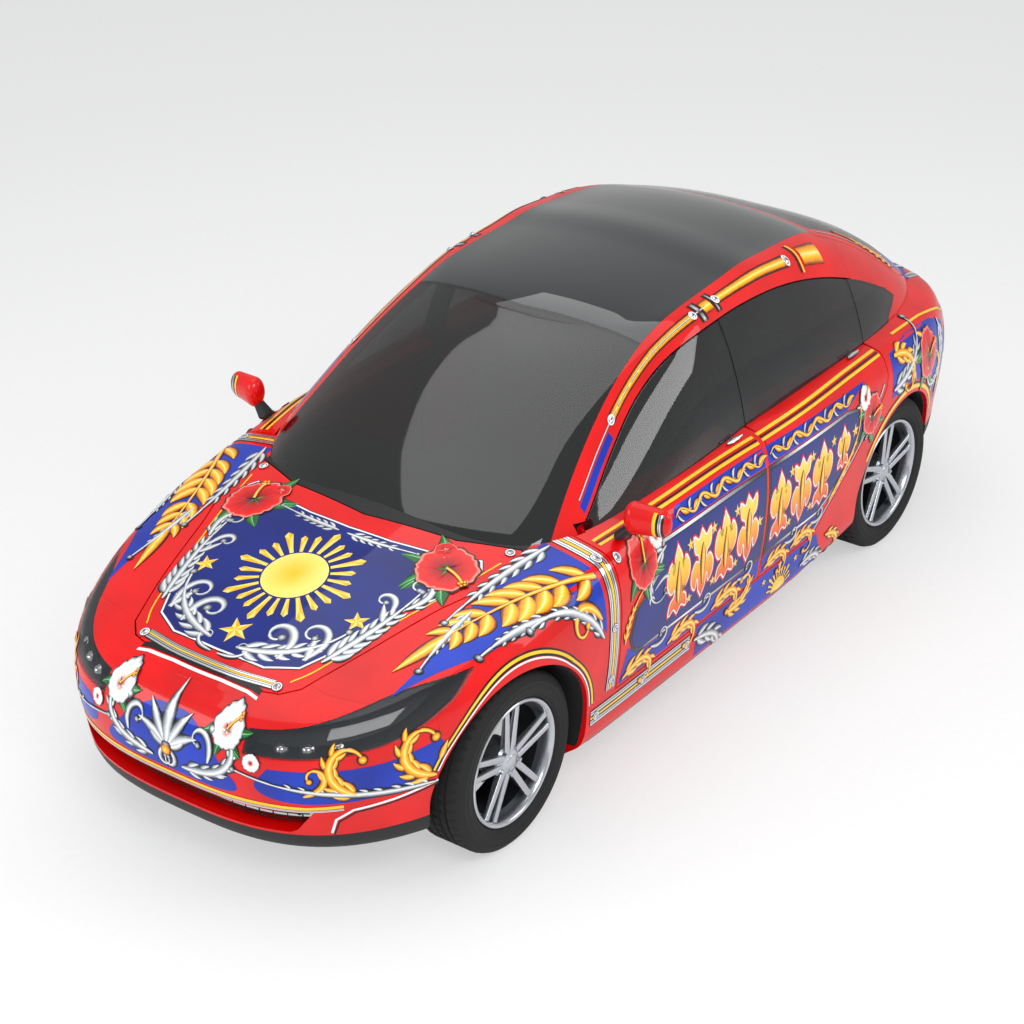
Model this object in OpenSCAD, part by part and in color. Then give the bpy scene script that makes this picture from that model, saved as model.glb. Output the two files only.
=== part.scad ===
// Four-door fastback car with a lifting tailgate, glass roof and a decorated skin.
// Millimetres. +Z is up, the nose points along -Y and the car's left side is +X.
// The origin is on the ground, at the centre of the overall length.

/* [Body] */
// Distance between the front and rear axles
wheelbase = 2890; // [2750:10:3050]
// Distance from the nose to the front axle
front_overhang = 880; // [840:10:920]
// Distance from the rear axle to the tail
rear_overhang = 980; // [940:10:1060]
// Greatest width of the body without its mirrors
body_width = 1920; // [1860:10:2000]
// Extra height of the roof over its normal height
roof_lift = 0; // [-30:5:60]
// Gap between neighbouring outer panels
seam = 6; // [5:1:9]
// Thickness of doors and side walls
wall = 90; // [70:5:110]
// Thickness of bonnet, roof rails and tailgate
lid_wall = 40; // [30:2:50]
// Thickness of the inner frame behind the panels
frame_wall = 26; // [18:2:40]
// Thickness of the window glass
glass = 8; // [6:1:12]

/* [Wheels] */
// Outer diameter of a tyre
tyre_diameter = 712; // [690:2:730]
// Width of a tyre
tyre_width = 235; // [215:5:255]
// Diameter of a rim at its bead seat
rim_diameter = 484; // [460:2:510]
// Distance between the centre planes of the left and right tyres
track = 1570; // [1530:10:1600]
// Radius of a wheel arch
arch_radius = 392; // [385:1:410]
// Radius of a wheel's stub axle
stub_radius = 32; // [26:1:38]
// Radius of the steering pins
kingpin_radius = 14; // [10:1:18]

/* [Cabin] */
// Height of the cabin floor's top face
floor_top = 330; // [310:5:350]
// Width of a front seat
seat_width = 500; // [460:10:530]
// Radius of the steering wheel's rim
steering_radius = 180; // [165:1:195]

/* [Hidden] */
$fn = 48;

RED = "#e01010";
CHROME = "#c8ccd0";
BLACK = "#202224";
GLASS = "#405058";

// ---- places along the car ----
length = front_overhang + wheelbase + rear_overhang;
nose = -length / 2;
tail = length / 2;
front_axle_y = nose + front_overhang;
rear_axle_y = tail - rear_overhang;
axle_z = tyre_diameter / 2;
half = body_width / 2;
reach = half + 200; // half width of the cutting prisms
joint = 0.8;        // gap between fixed panels
seat = 0.3;         // gap between a piece and what it rests on
liner = 5;          // thickness of the wheel arch liners
frame_gap = 0.7;    // gap between the side walls and the inner frame
flange = 30;        // how far the inner frame reaches behind a door's edge
step = 9;           // how far a door's inner part stays inside its outer edge
lid_skin = 10;      // depth of the outer step round the bonnet and the tailgate
lid_step = 12;      // width of that step
ledge_width = 25;   // width of the ledges under the bonnet and the tailgate
ledge_wall = 16;
top = 2000;         // height that every cutting prism passes

door_front = front_axle_y + 583; // front edge of the front doors
door_split = front_axle_y + 1640; // edge between the doors, at their foot
split_lean = 50;                 // how far that edge leans back by the belt
door_rear = rear_axle_y - 187;   // rear edge of the rear doors at the belt
quarter_glass_front = door_rear + seam;
window_split = door_split + split_lean * 0.9;
window_gap = 5; // extra space before and behind a door's window
door_foot_rear = rear_axle_y - 793; // rear end of the rear doors' foot
door_foot = 400;                 // height of the doors' lower edge
belt = 1003;                     // height of the doors' upper edge
bonnet_front = nose + 190;
bonnet_rear = front_axle_y + 400;
bonnet_front_half = 400;
bonnet_rear_half = 652;
cowl_half = bonnet_rear_half - 10;
cowl_rear = door_front + 90;
tailgate_front = rear_axle_y - 190; // hinge line of the tailgate, on the roof

// ---- surfaces ----
// Each level is one line round the body. Columns: half width, nose, front shoulder, rear shoulder,
// tail, front roundness, rear roundness, then height at the nose, front shoulder, middle,
// rear shoulder and tail.
front_shoulder = front_axle_y + 795;
rear_shoulder = rear_axle_y - 795;
HULL = [
    [half - 95, nose + 120, front_shoulder, rear_shoulder, tail - 90, 3, 3.6, 205, 185, 185, 190, 330],
    [half - 34, nose + 45, front_shoulder, rear_shoulder, tail - 35, 3, 3.6, 265, 240, 240, 250, 400],
    [half - 20, nose + 15, front_shoulder, rear_shoulder, tail - 10, 3, 3.6, 390, 385, 385, 400, 520],
    [half, nose, front_shoulder, rear_shoulder, tail, 3, 3.6, 540, 610, 620, 650, 690],
    [half - 6, nose + 18, front_shoulder, rear_shoulder, tail - 25, 3, 3.6, 655, 850, 870, 905, 860],
    [half - 50, nose + 68, front_shoulder, rear_shoulder, tail - 70, 3, 3.6, 728, 975, 998, 1030, 968],
    [half - 112, nose + 140, front_shoulder, rear_shoulder, tail - 130, 3, 3.6, 765, 1005, 1025, 1055, 1000]
];
hull_crown = 78;
CABIN = [
    [half - 130, nose + 1125, -120, 480, tail - 130, 3.6, 3.4, 940, 985, 1000, 1015, 985],
    [half - 145, nose + 1235, -100, 500, tail - 200, 3.6, 3.4, 1035, 1045, 1055, 1068, 1060],
    [half - 185, nose + 1430, 0, 560, tail - 360, 3.3, 3.3, 1175, 1190, 1200, 1205, 1178],
    [half - 238, nose + 1650, 130, 620, tail - 570, 3.1, 3.2, 1315, 1338, 1348, 1342, 1308],
    [half - 292, nose + 1880, 260, 700, tail - 820, 3, 3.1, 1425, 1450, 1462, 1455, 1420],
    [half - 350, nose + 2110, 380, 760, tail - 1090, 3, 3.1, 1500, 1532, 1545, 1535, 1503]
];
cabin_crown = 66;
DECK_STEPS = [0.8, 0.55, 0.28, 0]; // shares of the edge's half width, from the edge to the centre

// Smooth curve through the points (xs, ys), read at x.
function slope(xs, ys, i) =
    let (a = max(0, i - 1), b = min(len(xs) - 1, i + 1)) (ys[b] - ys[a]) / (xs[b] - xs[a]);
function span(xs, x, i = 0) = i >= len(xs) - 2 || x <= xs[i + 1] ? i : span(xs, x, i + 1);
function curve(xs, ys, x) =
    let (
        i = span(xs, x), h = xs[i + 1] - xs[i], t = min(1, max(0, (x - xs[i]) / h)),
        m0 = slope(xs, ys, i) * h, m1 = slope(xs, ys, i + 1) * h
    )
    ys[i] * (2 * t ^ 3 - 3 * t ^ 2 + 1) + m0 * (t ^ 3 - 2 * t ^ 2 + t)
    + ys[i + 1] * (3 * t ^ 2 - 2 * t ^ 3) + m1 * (t ^ 3 - t ^ 2);

// Stations round half the plan: [stretch, share], where stretch 0 is the nose, 1 the side, 2 the tail.
NOSE_STEPS = 11;
SIDE_STEPS = 3;
TAIL_STEPS = 10;
STATIONS = [
    for (i = [0:NOSE_STEPS]) [0, i / NOSE_STEPS],
    for (i = [1:SIDE_STEPS]) [1, i / SIDE_STEPS],
    for (i = [1:TAIL_STEPS]) [2, i / TAIL_STEPS]
];

// A level's point at a station, moved in by inset sideways and down by drop.
function ring_point(level, station, inset, drop) =
    let (
        w = level[0] - inset, ends = [level[1] + inset, level[4] - inset],
        y1 = level[2], y2 = level[3], a = 90 * station[1],
        x = station[0] == 0 ? w * sin(a) ^ (2 / level[5])
            : station[0] == 1 ? w : w * cos(a) ^ (2 / level[6]),
        y = station[0] == 0 ? y1 - (y1 - ends[0]) * cos(a) ^ (2 / level[5])
            : station[0] == 1 ? y1 + (y2 - y1) * station[1]
            : y2 + (ends[1] - y2) * sin(a) ^ (2 / level[6]),
        knots = [ends[0], y1, (y1 + y2) / 2, y2, ends[1]],
        heights = [for (k = [7:11]) level[k]]
    )
    [x, y, curve(knots, heights, y) - drop];

// One section of a body: up its side from foot to edge, then over its crown to the centre line.
function section(levels, station, crown, inset, drop, foot) =
    let (
        last = len(levels) - 1,
        side = [for (k = [0:last]) ring_point(levels[k], station, inset, drop * k / last)],
        low = foot == undef ? side : concat([[side[0].x, side[0].y, foot]], side),
        edge = side[last], w = levels[last][0]
    )
    concat(
        [[0, low[0].y, low[0].z]], low,
        [for (f = DECK_STEPS) [edge.x * f, edge.y, edge.z + crown * (1 - f ^ 2) * (edge.x / w) ^ 2]]
    );

// Closed solid of a body's outer shape. A foot height carries its lowest level straight down.
module bulk(levels, crown, inset = 0, drop = 0, foot = undef) {
    rows = len(levels) + len(DECK_STEPS) + (foot == undef ? 1 : 2);
    count = len(STATIONS);
    near = [for (s = STATIONS) each section(levels, s, crown, inset, drop, foot)];
    far = [for (p = near) [-p.x, p.y, p.z]];
    pts = concat(near, far);
    triangles = [
        for (half_index = [0, 1], i = [0:count - 2], j = [0:rows - 2])
            let (
                o = half_index * len(near) + i * rows + j,
                q = [o, o + rows, o + rows + 1, o + 1]
            )
            each half_index == 0 ? [[q[0], q[1], q[2]], [q[0], q[2], q[3]]] : [[q[3], q[2], q[1]], [q[3], q[1], q[0]]]
    ];
    // corners that fall together on the centre line make no face
    function open(a, b, c) = a != b && b != c && a != c;
    polyhedron(
        points = pts,
        faces = [for (t = triangles) if (open(pts[t[0]], pts[t[1]], pts[t[2]])) [t[2], t[1], t[0]]]
    );
}

// Layer of the lower body between two depths under its skin.
module hull_layer(from, to, from_lid = -1, to_lid = -1) {
    a = from_lid < 0 ? from : from_lid;
    b = to_lid < 0 ? to : to_lid;
    difference() {
        bulk(HULL, hull_crown, from, a, from == 0 ? undef : 150);
        bulk(HULL, hull_crown, to, b, 100);
    }
}

// Layer of the cabin top between two depths under its skin.
module cabin_layer(from, to) {
    translate([0, 0, roof_lift])
        difference() {
            bulk(CABIN, cabin_crown, from, from, 900);
            bulk(CABIN, cabin_crown, to, to, 850);
        }
}

// ---- helpers ----
// Evaluates a cut panel as one closed surface.
module one_mesh() { resize([0, 0, 0]) children(); }
module right() { mirror([1, 0, 0]) children(); }
module both() { children(); right() children(); }
module paint(c) { color(c) children(); }

// Prism along X of an outline given as [y, z] points, from x0 to x1.
module side_prism(points, grow = 0, x0 = 0, x1 = reach) {
    translate([x0, 0, 0])
        rotate([90, 0, 90])
            linear_extrude(x1 - x0)
                grown(grow) polygon(points);
}
module grown(by) {
    if (by == 0) children();
    else offset(delta = by) children();
}

// Upright prism of an outline given as [x, y] points of its left half.
module plan_prism(points, grow = 0, z0 = 500) {
    far = [for (k = [len(points) - 1:-1:0]) if (points[k].x > 0) [-points[k].x, points[k].y]];
    whole = concat(points, far);
    translate([0, 0, z0])
        linear_extrude(top - z0)
            grown(grow) polygon(whole);
}

module slab(x, y, z) {
    translate([x[0], y[0], z[0]]) cube([x[1] - x[0], y[1] - y[0], z[1] - z[0]]);
}

// Wheel arch cut out of a panel, with room for the liner.
module arch(y, radius = arch_radius + liner + seat) {
    translate([0, y, axle_z]) rotate([0, 90, 0]) cylinder(r = radius, h = reach, $fn = 56);
}

// ---- outlines seen from the left side, as [y, z] ----
FRONT_DOOR = [
    [door_front, door_foot], [door_split, door_foot],
    [door_split + split_lean, belt + 80], [door_front, belt + 80]
];
REAR_DOOR = [
    [door_split, door_foot], [door_foot_rear, door_foot], [door_rear - 22, belt - 125],
    [door_rear, belt - 70], [door_rear, belt + 80], [door_split + split_lean, belt + 80]
];
SIDE_GLASS = [
    [door_front + 42, belt - 48], [door_front + 62, belt + 22], [door_front + 290, belt + 190],
    [door_front + 530, belt + 335], [door_front + 800, belt + 428], [door_front + 1150, belt + 466],
    [door_front + 1500, belt + 462], [door_front + 1850, belt + 405], [door_front + 2200, belt + 290],
    [door_front + 2480, belt + 160], [door_front + 2560, belt + 100], [door_front + 2440, belt + 60],
    [door_front + 2300, belt - 48]
];
HEADLIGHT = [
    [nose + 715, 838], [nose + 480, 815], [nose + 270, 772], [nose + 90, 722], [nose - 50, 690],
    [nose - 50, 632], [nose + 150, 648], [nose + 390, 690], [nose + 590, 765]
];
TAIL_LIGHT = [
    [tail - 385, 885], [tail - 300, 925], [tail + 50, 925], [tail + 50, 800], [tail - 250, 800]
];
lamp_inner = 560;        // distance of the lamps' inner ends from the centre line
tailgate_foot = 650;     // lower edge of the tailgate
tailgate_foot_half = 500;
bumper_seam = front_axle_y - 373; // front bumper's edge on the side
quarter_seam = rear_axle_y + 585; // rear bumper's edge on the side
FRONT_BUMPER = [
    [nose - 100, 318], [front_axle_y - 300, 318], [bumper_seam, 480], [bumper_seam, 760],
    [nose + 311, 800], [nose + 311, 1000], [nose - 100, 1000]
];
REAR_BUMPER = [
    [rear_axle_y + 300, 440], [rear_axle_y + 300, 505], [quarter_seam, 650], [quarter_seam + 20, 803],
    [tail + 100, 803], [tail + 100, 440]
];

// ---- outlines seen from above, left half, as [x, y] ----
BONNET = [
    [0, bonnet_front], [250, bonnet_front + 8], [345, bonnet_front + 35],
    [bonnet_front_half, bonnet_front + 90], [482, bonnet_front + 330], [570, bonnet_front + 640],
    [bonnet_rear_half - 30, bonnet_rear - 300], [bonnet_rear_half, bonnet_rear - 100],
    [bonnet_rear_half, bonnet_rear - 20], [bonnet_rear_half - 20, bonnet_rear],
    [400, bonnet_rear - 98], [0, bonnet_rear - 150]
];
header = nose + 2190; // joint between the windscreen and the roof glass
WINDSCREEN = [
    [0, nose + 1000], [690, nose + 1000], [690, nose + 1380], [625, nose + 1650], [572, nose + 1950],
    [545, header], [0, header - 45]
];
ROOF_GLASS = [
    [0, header - 45], [545, header], [532, tailgate_front - 500], [515, tailgate_front], [0, tailgate_front]
];
TAILGATE = [
    [0, tailgate_front], [545, tailgate_front], [590, tailgate_front + 320], [632, tailgate_front + 600],
    [600, tailgate_front + 760], [lamp_inner, tailgate_front + 880], [lamp_inner, tail + 100], [0, tail + 100]
];
REAR_GLASS = [
    [0, tailgate_front + 45], [478, tailgate_front + 45], [520, tailgate_front + 320],
    [545, tailgate_front + 560], [510, tailgate_front + 640], [360, tailgate_front + 690],
    [0, tailgate_front + 705]
];

// ---- skins of the panels ----
module hull_skin() { hull_layer(0, wall, 0, lid_wall); }
module cabin_skin(depth = lid_wall) { cabin_layer(0, depth); }
module cabin_inside(grow = 0) {
    translate([0, 0, roof_lift]) bulk(CABIN, cabin_crown, -grow, -grow, 880);
}
// Room inside the body, at a depth under its skin.
module hull_inside(depth, lid_depth) { bulk(HULL, hull_crown, depth, lid_depth, 100); }

// Everything behind the tailgate's hinge line that lifts with it.
module tailgate_zone(grow = 0) {
    foot_half = tailgate_foot_half + grow;
    union() {
        intersection() {
            plan_prism(TAILGATE, grow);
            slab([-reach, reach], [tailgate_front - 10, tail + 200], [800 - grow, top]);
        }
        slab([-foot_half, foot_half], [tail - 600, tail + 200], [tailgate_foot - grow, 850]);
    }
}

// Ledge that a lid rests on, along its outline. Takes the layers below the lid and beside it.
module ledge(outline) {
    union() {
        intersection() {
            children(0);
            difference() { plan_prism(outline, ledge_width); plan_prism(outline, seam / 2); }
        }
        intersection() {
            children(1);
            difference() { plan_prism(outline, seam); plan_prism(outline, -ledge_width); }
        }
    }
}

// ---- fixed body panels, left side as drawn ----
module fender() {
    one_mesh() union() {
        fender_skin();
        intersection() {
            ledge(BONNET) {
                hull_layer(lid_wall - 10, lid_wall + ledge_wall);
                hull_layer(lid_wall + seat, lid_wall + ledge_wall);
            }
            slab([400, reach], [nose + 760, bonnet_rear - 130], [600, top]);
        }
    }
}

module fender_skin() {
    intersection() {
        difference() {
            hull_skin();
            cabin_inside(seat);
            plan_prism(BONNET, seam / 2);
            side_prism(HEADLIGHT, seat, lamp_inner - 230 - seat);
            side_prism(FRONT_BUMPER, joint / 2, -reach);
            arch(front_axle_y);
            slab([0, cowl_half], [bonnet_rear - 175, cowl_rear], [600, top]);
            slab([0, reach], [door_front - seam / 2, tail], [0, top]);
        }
        slab([240, reach], [nose, 0], [door_foot + joint / 2, top]);
    }
}

module side_panel() {
    upper_front = tailgate_front + 50; // front edge of the pillar beside the tailgate
    one_mesh() union() {
        difference() {
            hull_skin();
            difference() { cabin_inside(seat); slab([0, reach], [upper_front, tail], [0, top]); }
            cabin_inside(-lid_wall);
            intersection() { cabin_inside(seat); side_prism(SIDE_GLASS, seat, 300); }
            side_prism(FRONT_DOOR, seam / 2, -reach);
            side_prism(REAR_DOOR, seam / 2, -reach);
            slab([-reach, 400], [nose, tail], [0, top]);
            slab([0, reach], [nose, front_axle_y + 150], [0, top]);
            slab([0, reach], [nose, door_front - 1], [door_foot - joint / 2, top]);
            slab([0, reach], [door_front - 2, door_front + 100], [door_foot + 1, top]);
            side_prism(REAR_BUMPER, joint / 2, -reach);
            side_prism(TAIL_LIGHT, seat, lamp_inner - seat);
            tailgate_zone(seam / 2);
            slab([0, reach], [rear_axle_y + 200, tail + 100], [0, 505]);
            arch(front_axle_y);
            arch(rear_axle_y);
        }
        intersection() {
            difference() {
                cabin_skin();
                tailgate_zone(seam / 2);
                side_prism(SIDE_GLASS, seat, 300);
            }
            slab([400, reach], [upper_front, tail], [980, top]);
        }
        intersection() {
            ledge(TAILGATE) {
                cabin_layer(lid_wall - 10, lid_wall + ledge_wall);
                cabin_layer(lid_wall + seat, lid_wall + ledge_wall);
            }
            slab([400, reach], [upper_front + 20, upper_front + 480], [980, top]);
        }
    }
}

module front_bumper() {
    one_mesh() difference() {
        intersection() {
            hull_skin();
            side_prism(FRONT_BUMPER, -joint / 2, -reach);
        }
        plan_prism(BONNET, seam / 2);
        for (m = [0, 1]) mirror([m, 0, 0]) {
            side_prism(HEADLIGHT, seat, lamp_inner - 230 - seat);
            arch(front_axle_y);
        }
        // lower air intake
        translate([0, nose - 100, 0])
            rotate([-90, 0, 0])
                linear_extrude(500)
                    offset(r = 25) offset(delta = -25)
                        polygon([[-560, -425], [560, -425], [480, -330], [-480, -330]]);
        slab([-reach, reach], [bumper_seam + 60, 0], [0, top]);
    }
}

module front_valance() {
    one_mesh() difference() {
        intersection() {
            hull_skin();
            slab([-reach, reach], [nose - 50, front_axle_y - 200], [0, 318 - joint / 2]);
        }
        for (m = [0, 1]) mirror([m, 0, 0]) arch(front_axle_y);
    }
}

module rear_bumper() {
    one_mesh() difference() {
        intersection() {
            hull_skin();
            side_prism(REAR_BUMPER, -joint / 2, -reach);
        }
        tailgate_zone(seam / 2);
        for (m = [0, 1]) mirror([m, 0, 0]) {
            side_prism(TAIL_LIGHT, seat, lamp_inner - seat);
            arch(rear_axle_y);
        }
    }
}

module rear_valance() {
    one_mesh() difference() {
        intersection() {
            hull_skin();
            slab([-reach, reach], [rear_axle_y + 250, tail + 50], [0, 440 - joint / 2]);
        }
        for (m = [0, 1]) mirror([m, 0, 0]) arch(rear_axle_y);
    }
}

module headlight() {
    one_mesh() intersection() {
        difference() {
            hull_layer(0, 70, 0, 70);
            plan_prism(BONNET, seam / 2);
        }
        side_prism(HEADLIGHT, 0, lamp_inner - 230);
    }
}

module tail_light() {
    one_mesh() intersection() {
        hull_layer(0, 60, 0, 60);
        side_prism(TAIL_LIGHT, 0, lamp_inner);
    }
}

module roof_rail() {
    one_mesh() difference() {
        intersection() {
            cabin_skin();
            slab([300, reach], [nose, tailgate_front + 50 - joint], [940, top]);
        }
        plan_prism(WINDSCREEN, seat);
        plan_prism(ROOF_GLASS, seat);
        tailgate_zone(seam / 2);
        side_prism(SIDE_GLASS, seam / 2, 300);
        slab([0, reach], [door_front + 20, tail], [0, belt + 30]);
    }
}

module windscreen() {
    one_mesh() intersection() {
        cabin_skin(glass);
        plan_prism(WINDSCREEN);
        slab([-reach, reach], [nose, 0], [985, top]);
    }
}

module roof_glass() {
    one_mesh() intersection() {
        cabin_skin(glass);
        plan_prism(ROOF_GLASS, -seat);
    }
}

// Panel between the bonnet and the windscreen.
module cowl() {
    one_mesh() difference() {
        intersection() {
            hull_skin();
            slab([joint - cowl_half, cowl_half - joint], [bonnet_rear - 170, cowl_rear], [900, top]);
        }
        plan_prism(BONNET, seam / 2);
        cabin_inside(seat);
    }
}

pillar_foot = belt - 110;
pillar_room = 24; // space before and behind the pillar for a door that swings past it
pillar_at = door_split + split_lean;
module pillar_zone(grow = 0) {
    side_prism([
        [pillar_at - 50, pillar_foot], [pillar_at + 50, pillar_foot], [pillar_at + 45, top], [pillar_at - 45, top]
    ], grow);
}

module side_frame() {
    depth = wall + frame_wall;
    one_mesh() union() {
        difference() {
            hull_layer(wall + frame_gap, depth, lid_wall + 2, lid_wall + frame_wall);
            translate([0, 0, roof_lift]) difference() {
                bulk(CABIN, cabin_crown, -4, -4, belt - 50);
                bulk(CABIN, cabin_crown, glass + 4, glass + 4, 850);
            }
            side_prism(FRONT_DOOR, -flange, -reach);
            side_prism(REAR_DOOR, -flange, -reach);
            slab([-reach, half - 212], [nose, tail], [0, top]);
            slab([0, reach], [nose, front_axle_y + arch_radius + 25], [0, top]);
            slab([0, reach], [rear_axle_y - 560, tail + 100], [0, top]);
            slab([0, reach], [nose, tail], [0, 200]);
        }
        // pillar between the doors
        intersection() {
            cabin_layer(glass + 4, glass + 44);
            pillar_zone();
            union() {
                side_prism(SIDE_GLASS, seam / 2 - seat, 300);
                slab([0, reach], [nose, tail], [pillar_foot, belt]);
            }
        }
    }
}

// ---- moving body panels ----
module door(outline) {
    inner = half - 112 - wall - 40;
    shoulder_end = max([for (p = outline) p.y > belt ? p.x : nose]) - seam / 2;
    one_mesh() difference() {
        union() {
            intersection() {
                hull_layer(0, wall / 3, 0, lid_wall);
                side_prism(outline, -seam / 2, inner);
            }
            intersection() {
                hull_layer(0, wall, 0, lid_wall);
                side_prism(outline, -seam / 2 - step, inner);
            }
            intersection() {
                hull_layer(0, wall);
                side_prism(outline, -seam / 2 - step - flange - pillar_room, inner);
            }
        }
        // slot for the window glass
        translate([0, 0, roof_lift]) difference() {
            bulk(CABIN, cabin_crown, -seat, -seat, belt - 44 - seat);
            bulk(CABIN, cabin_crown, glass + seat, glass + seat, 900);
        }
        // room for the pillar and for the foot of the windscreen's frame
        intersection() {
            cabin_inside(-glass - 2);
            pillar_zone(pillar_room);
        }
        intersection() {
            cabin_inside(seam);
            slab([0, reach], [nose, door_front + 50], [900, top]);
        }
        slab([0, reach], [nose, tail], [belt + 42, top]);
        arch(rear_axle_y, arch_radius + 30);
        // slanted rear end of the shoulder, which swings inwards at first
        translate([0, shoulder_end, belt - 90])
            linear_extrude(top)
                polygon([[half - 55, 0], [half - 260, -24], [half - 260, 40], [half - 55, 40]]);
    }
}

module side_window(from, to) {
    one_mesh() intersection() {
        cabin_layer(0, glass);
        side_prism(SIDE_GLASS, -seam / 2, 300);
        side_prism([
            [from, belt - 44], [to, belt - 44], [to + split_lean * 0.6, top], [from + split_lean * 0.6, top]
        ], -seam / 2, 300);
    }
}

module front_window() { side_window(door_front, window_split - window_gap); }
module rear_window() { side_window(window_split + window_gap, door_rear - window_gap * 2); }

// Fixed pane behind the rear door.
module quarter_window() {
    one_mesh() difference() {
        intersection() {
            cabin_layer(0, glass);
            side_prism(SIDE_GLASS, 0, 300);
            slab([0, reach], [quarter_glass_front, tail], [belt - 44, top]);
        }
        side_prism([
            [0, belt - 60], [door_rear, belt - 60], [door_rear + split_lean * 0.6, top], [0, top]
        ], seam / 2, 300);
    }
}

module mirror_cap() {
    at = [half, door_front + 105, belt + 88];
    one_mesh() difference() {
        union() {
            hull() {
                translate(at + [-22, 0, 4]) scale([0.65, 0.72, 1.06]) sphere(r = 62, $fn = 20);
                translate(at + [80, 26, 0]) scale([0.72, 0.6, 0.95]) sphere(r = 60, $fn = 20);
            }
            hull() {
                translate(at + [-78, 0, -90]) cube([44, 80, 50], center = true);
                translate(at + [-30, 6, -34]) cube([44, 44, 20], center = true);
            }
        }
        bulk(HULL, hull_crown, -seat, -seat);
    }
}

// What lies deeper than a lid's outer step.
module under_step() {
    bulk(HULL, hull_crown, lid_skin, lid_skin, 100);
    cabin_inside(-lid_skin);
}

module bonnet() {
    one_mesh() difference() {
        intersection() {
            hull_layer(0, lid_wall);
            plan_prism(BONNET, -seam / 2);
        }
        difference() { under_step(); plan_prism(BONNET, -seam / 2 - lid_step); }
        cabin_inside(seam);
    }
}

module tailgate() {
    inner = 12; // depth to which the upper part runs into the lower one
    one_mesh() difference() {
        intersection() {
            union() {
                difference() { cabin_skin(); bulk(HULL, hull_crown, inner, inner); }
                difference() {
                    hull_layer(0, 60, 0, lid_wall);
                    cabin_inside(-lid_wall);
                    slab([-reach, reach], [nose, tail - 480], [0, top]);
                }
            }
            tailgate_zone(-seam / 2);
        }
        difference() { under_step(); tailgate_zone(-seam / 2 - lid_step); }
        plan_prism(REAR_GLASS, 0, 1000);
    }
}

module tailgate_glass() {
    one_mesh() intersection() {
        cabin_skin(glass);
        plan_prism(REAR_GLASS, -seat, 1000);
    }
}

// ---- chassis ----
rail_in = 380;     // inner face of the lengthwise rails
rail_out = 450;    // outer face of the lengthwise rails
rail_z = 400;      // underside of the lengthwise rails
rail_top = 470;
bulkhead = door_front - 40;
kick_up = rear_axle_y - 190; // step up to the boot floor
rear_house = 645;  // inner wall of a rear wheel arch
front_house = 474; // inner wall of a front wheel arch
crash_beam = nose + 185;
tow_radius = 10;   // bore for the towing eye
pad_drop = 15;     // height of a jacking pad

module floor_pan() {
    one_mesh() intersection() {
        union() {
            slab([-reach, reach], [bulkhead, kick_up + 30], [floor_top - 30, floor_top]);
            slab([-740, 740], [bulkhead, bulkhead + 30], [floor_top - 1, 930]);
            slab([-reach, reach], [kick_up, kick_up + 30], [floor_top - 1, rail_top + 30]);
            slab([-reach, reach], [kick_up, tail], [rail_top, rail_top + 30]);
            for (m = [0, 1]) mirror([m, 0, 0])
                slab([rail_in, rail_out], [kick_up + 10, tail], [rail_z, rail_top + 1]);
        }
        hull_inside(wall + frame_wall + seat, lid_wall + frame_wall + seat);
        union() {
            slab([-reach, reach], [front_axle_y + 470, rear_axle_y - arch_radius - 20], [0, top]);
            slab([-rear_house, rear_house], [nose, tail], [0, top]);
        }
    }
}

module battery_pack() {
    ends = [bulkhead + 60, kick_up - 60];
    low = 185;
    slab([-620, 620], ends, [low, floor_top - 30]);
    for (x = [-520, 520], y = [ends[0] + 90, ends[1] - 90])
        translate([x, y, low - pad_drop]) cylinder(r = 38, h = pad_drop + 1);
}

// Liner of one wheel arch and its inner wall.
module wheel_house(y, inner) {
    one_mesh() intersection() {
        difference() {
            translate([inner, y, axle_z])
                rotate([0, 90, 0]) cylinder(r = arch_radius + liner, h = reach, $fn = 56);
            translate([inner + liner, y, axle_z])
                rotate([0, 90, 0]) cylinder(r = arch_radius, h = reach, $fn = 56);
            slab([0, inner + liner], [y - 500, y + 500], [0, rail_z + 5]);
            slab([0, reach], [y - 500, y + 500], [0, 232]);
        }
        hull_inside(16, 16);
    }
}

knuckle_in = 50;   // kingpin's distance inboard of the tyre's centre plane
post_in = 150;     // yoke post's distance inboard of the same plane
pin_reach = 118;   // half length of a kingpin
lug = 30;          // height of a yoke lug

// Rails, crash beam, cross beam and the yokes that hold the steering knuckles.
module front_subframe() {
    x0 = track / 2;
    post = x0 - post_in;
    pin_hole = kingpin_radius + 0.05;
    difference() {
        slab([-rail_out, rail_out], [crash_beam, crash_beam + 60], [rail_z - 60, rail_z + 20]);
        translate([-(rail_in + rail_out) / 2, crash_beam - 1, rail_z - 22])
            rotate([-90, 0, 0]) cylinder(r = tow_radius, h = 62);
    }
    slab([-post, post], [front_axle_y - 60, front_axle_y + 60], [axle_z - 50, rail_z + 1]);
    for (m = [0, 1]) mirror([m, 0, 0]) {
        slab([rail_in, rail_out], [crash_beam + 1, bulkhead - seat], [rail_z, rail_top]);
        translate([0, front_axle_y, axle_z]) {
            slab([post - 18, post + 18], [-35, 35], [-pin_reach, pin_reach]);
            for (z = [-pin_reach, pin_reach - lug])
                difference() {
                    slab([post + 17, x0 - knuckle_in + 28], [-30, 30], [z, z + lug]);
                    translate([x0 - knuckle_in, 0, z - 1]) cylinder(r = pin_hole, h = lug + 2);
                }
        }
    }
}

module stub_axle(x, y) {
    translate([x, y, axle_z]) rotate([0, 90, 0]) {
        translate([0, 0, -60]) cylinder(r = 60, h = 36);
        translate([0, 0, -30]) cylinder(r = stub_radius, h = 85);
    }
}

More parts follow.
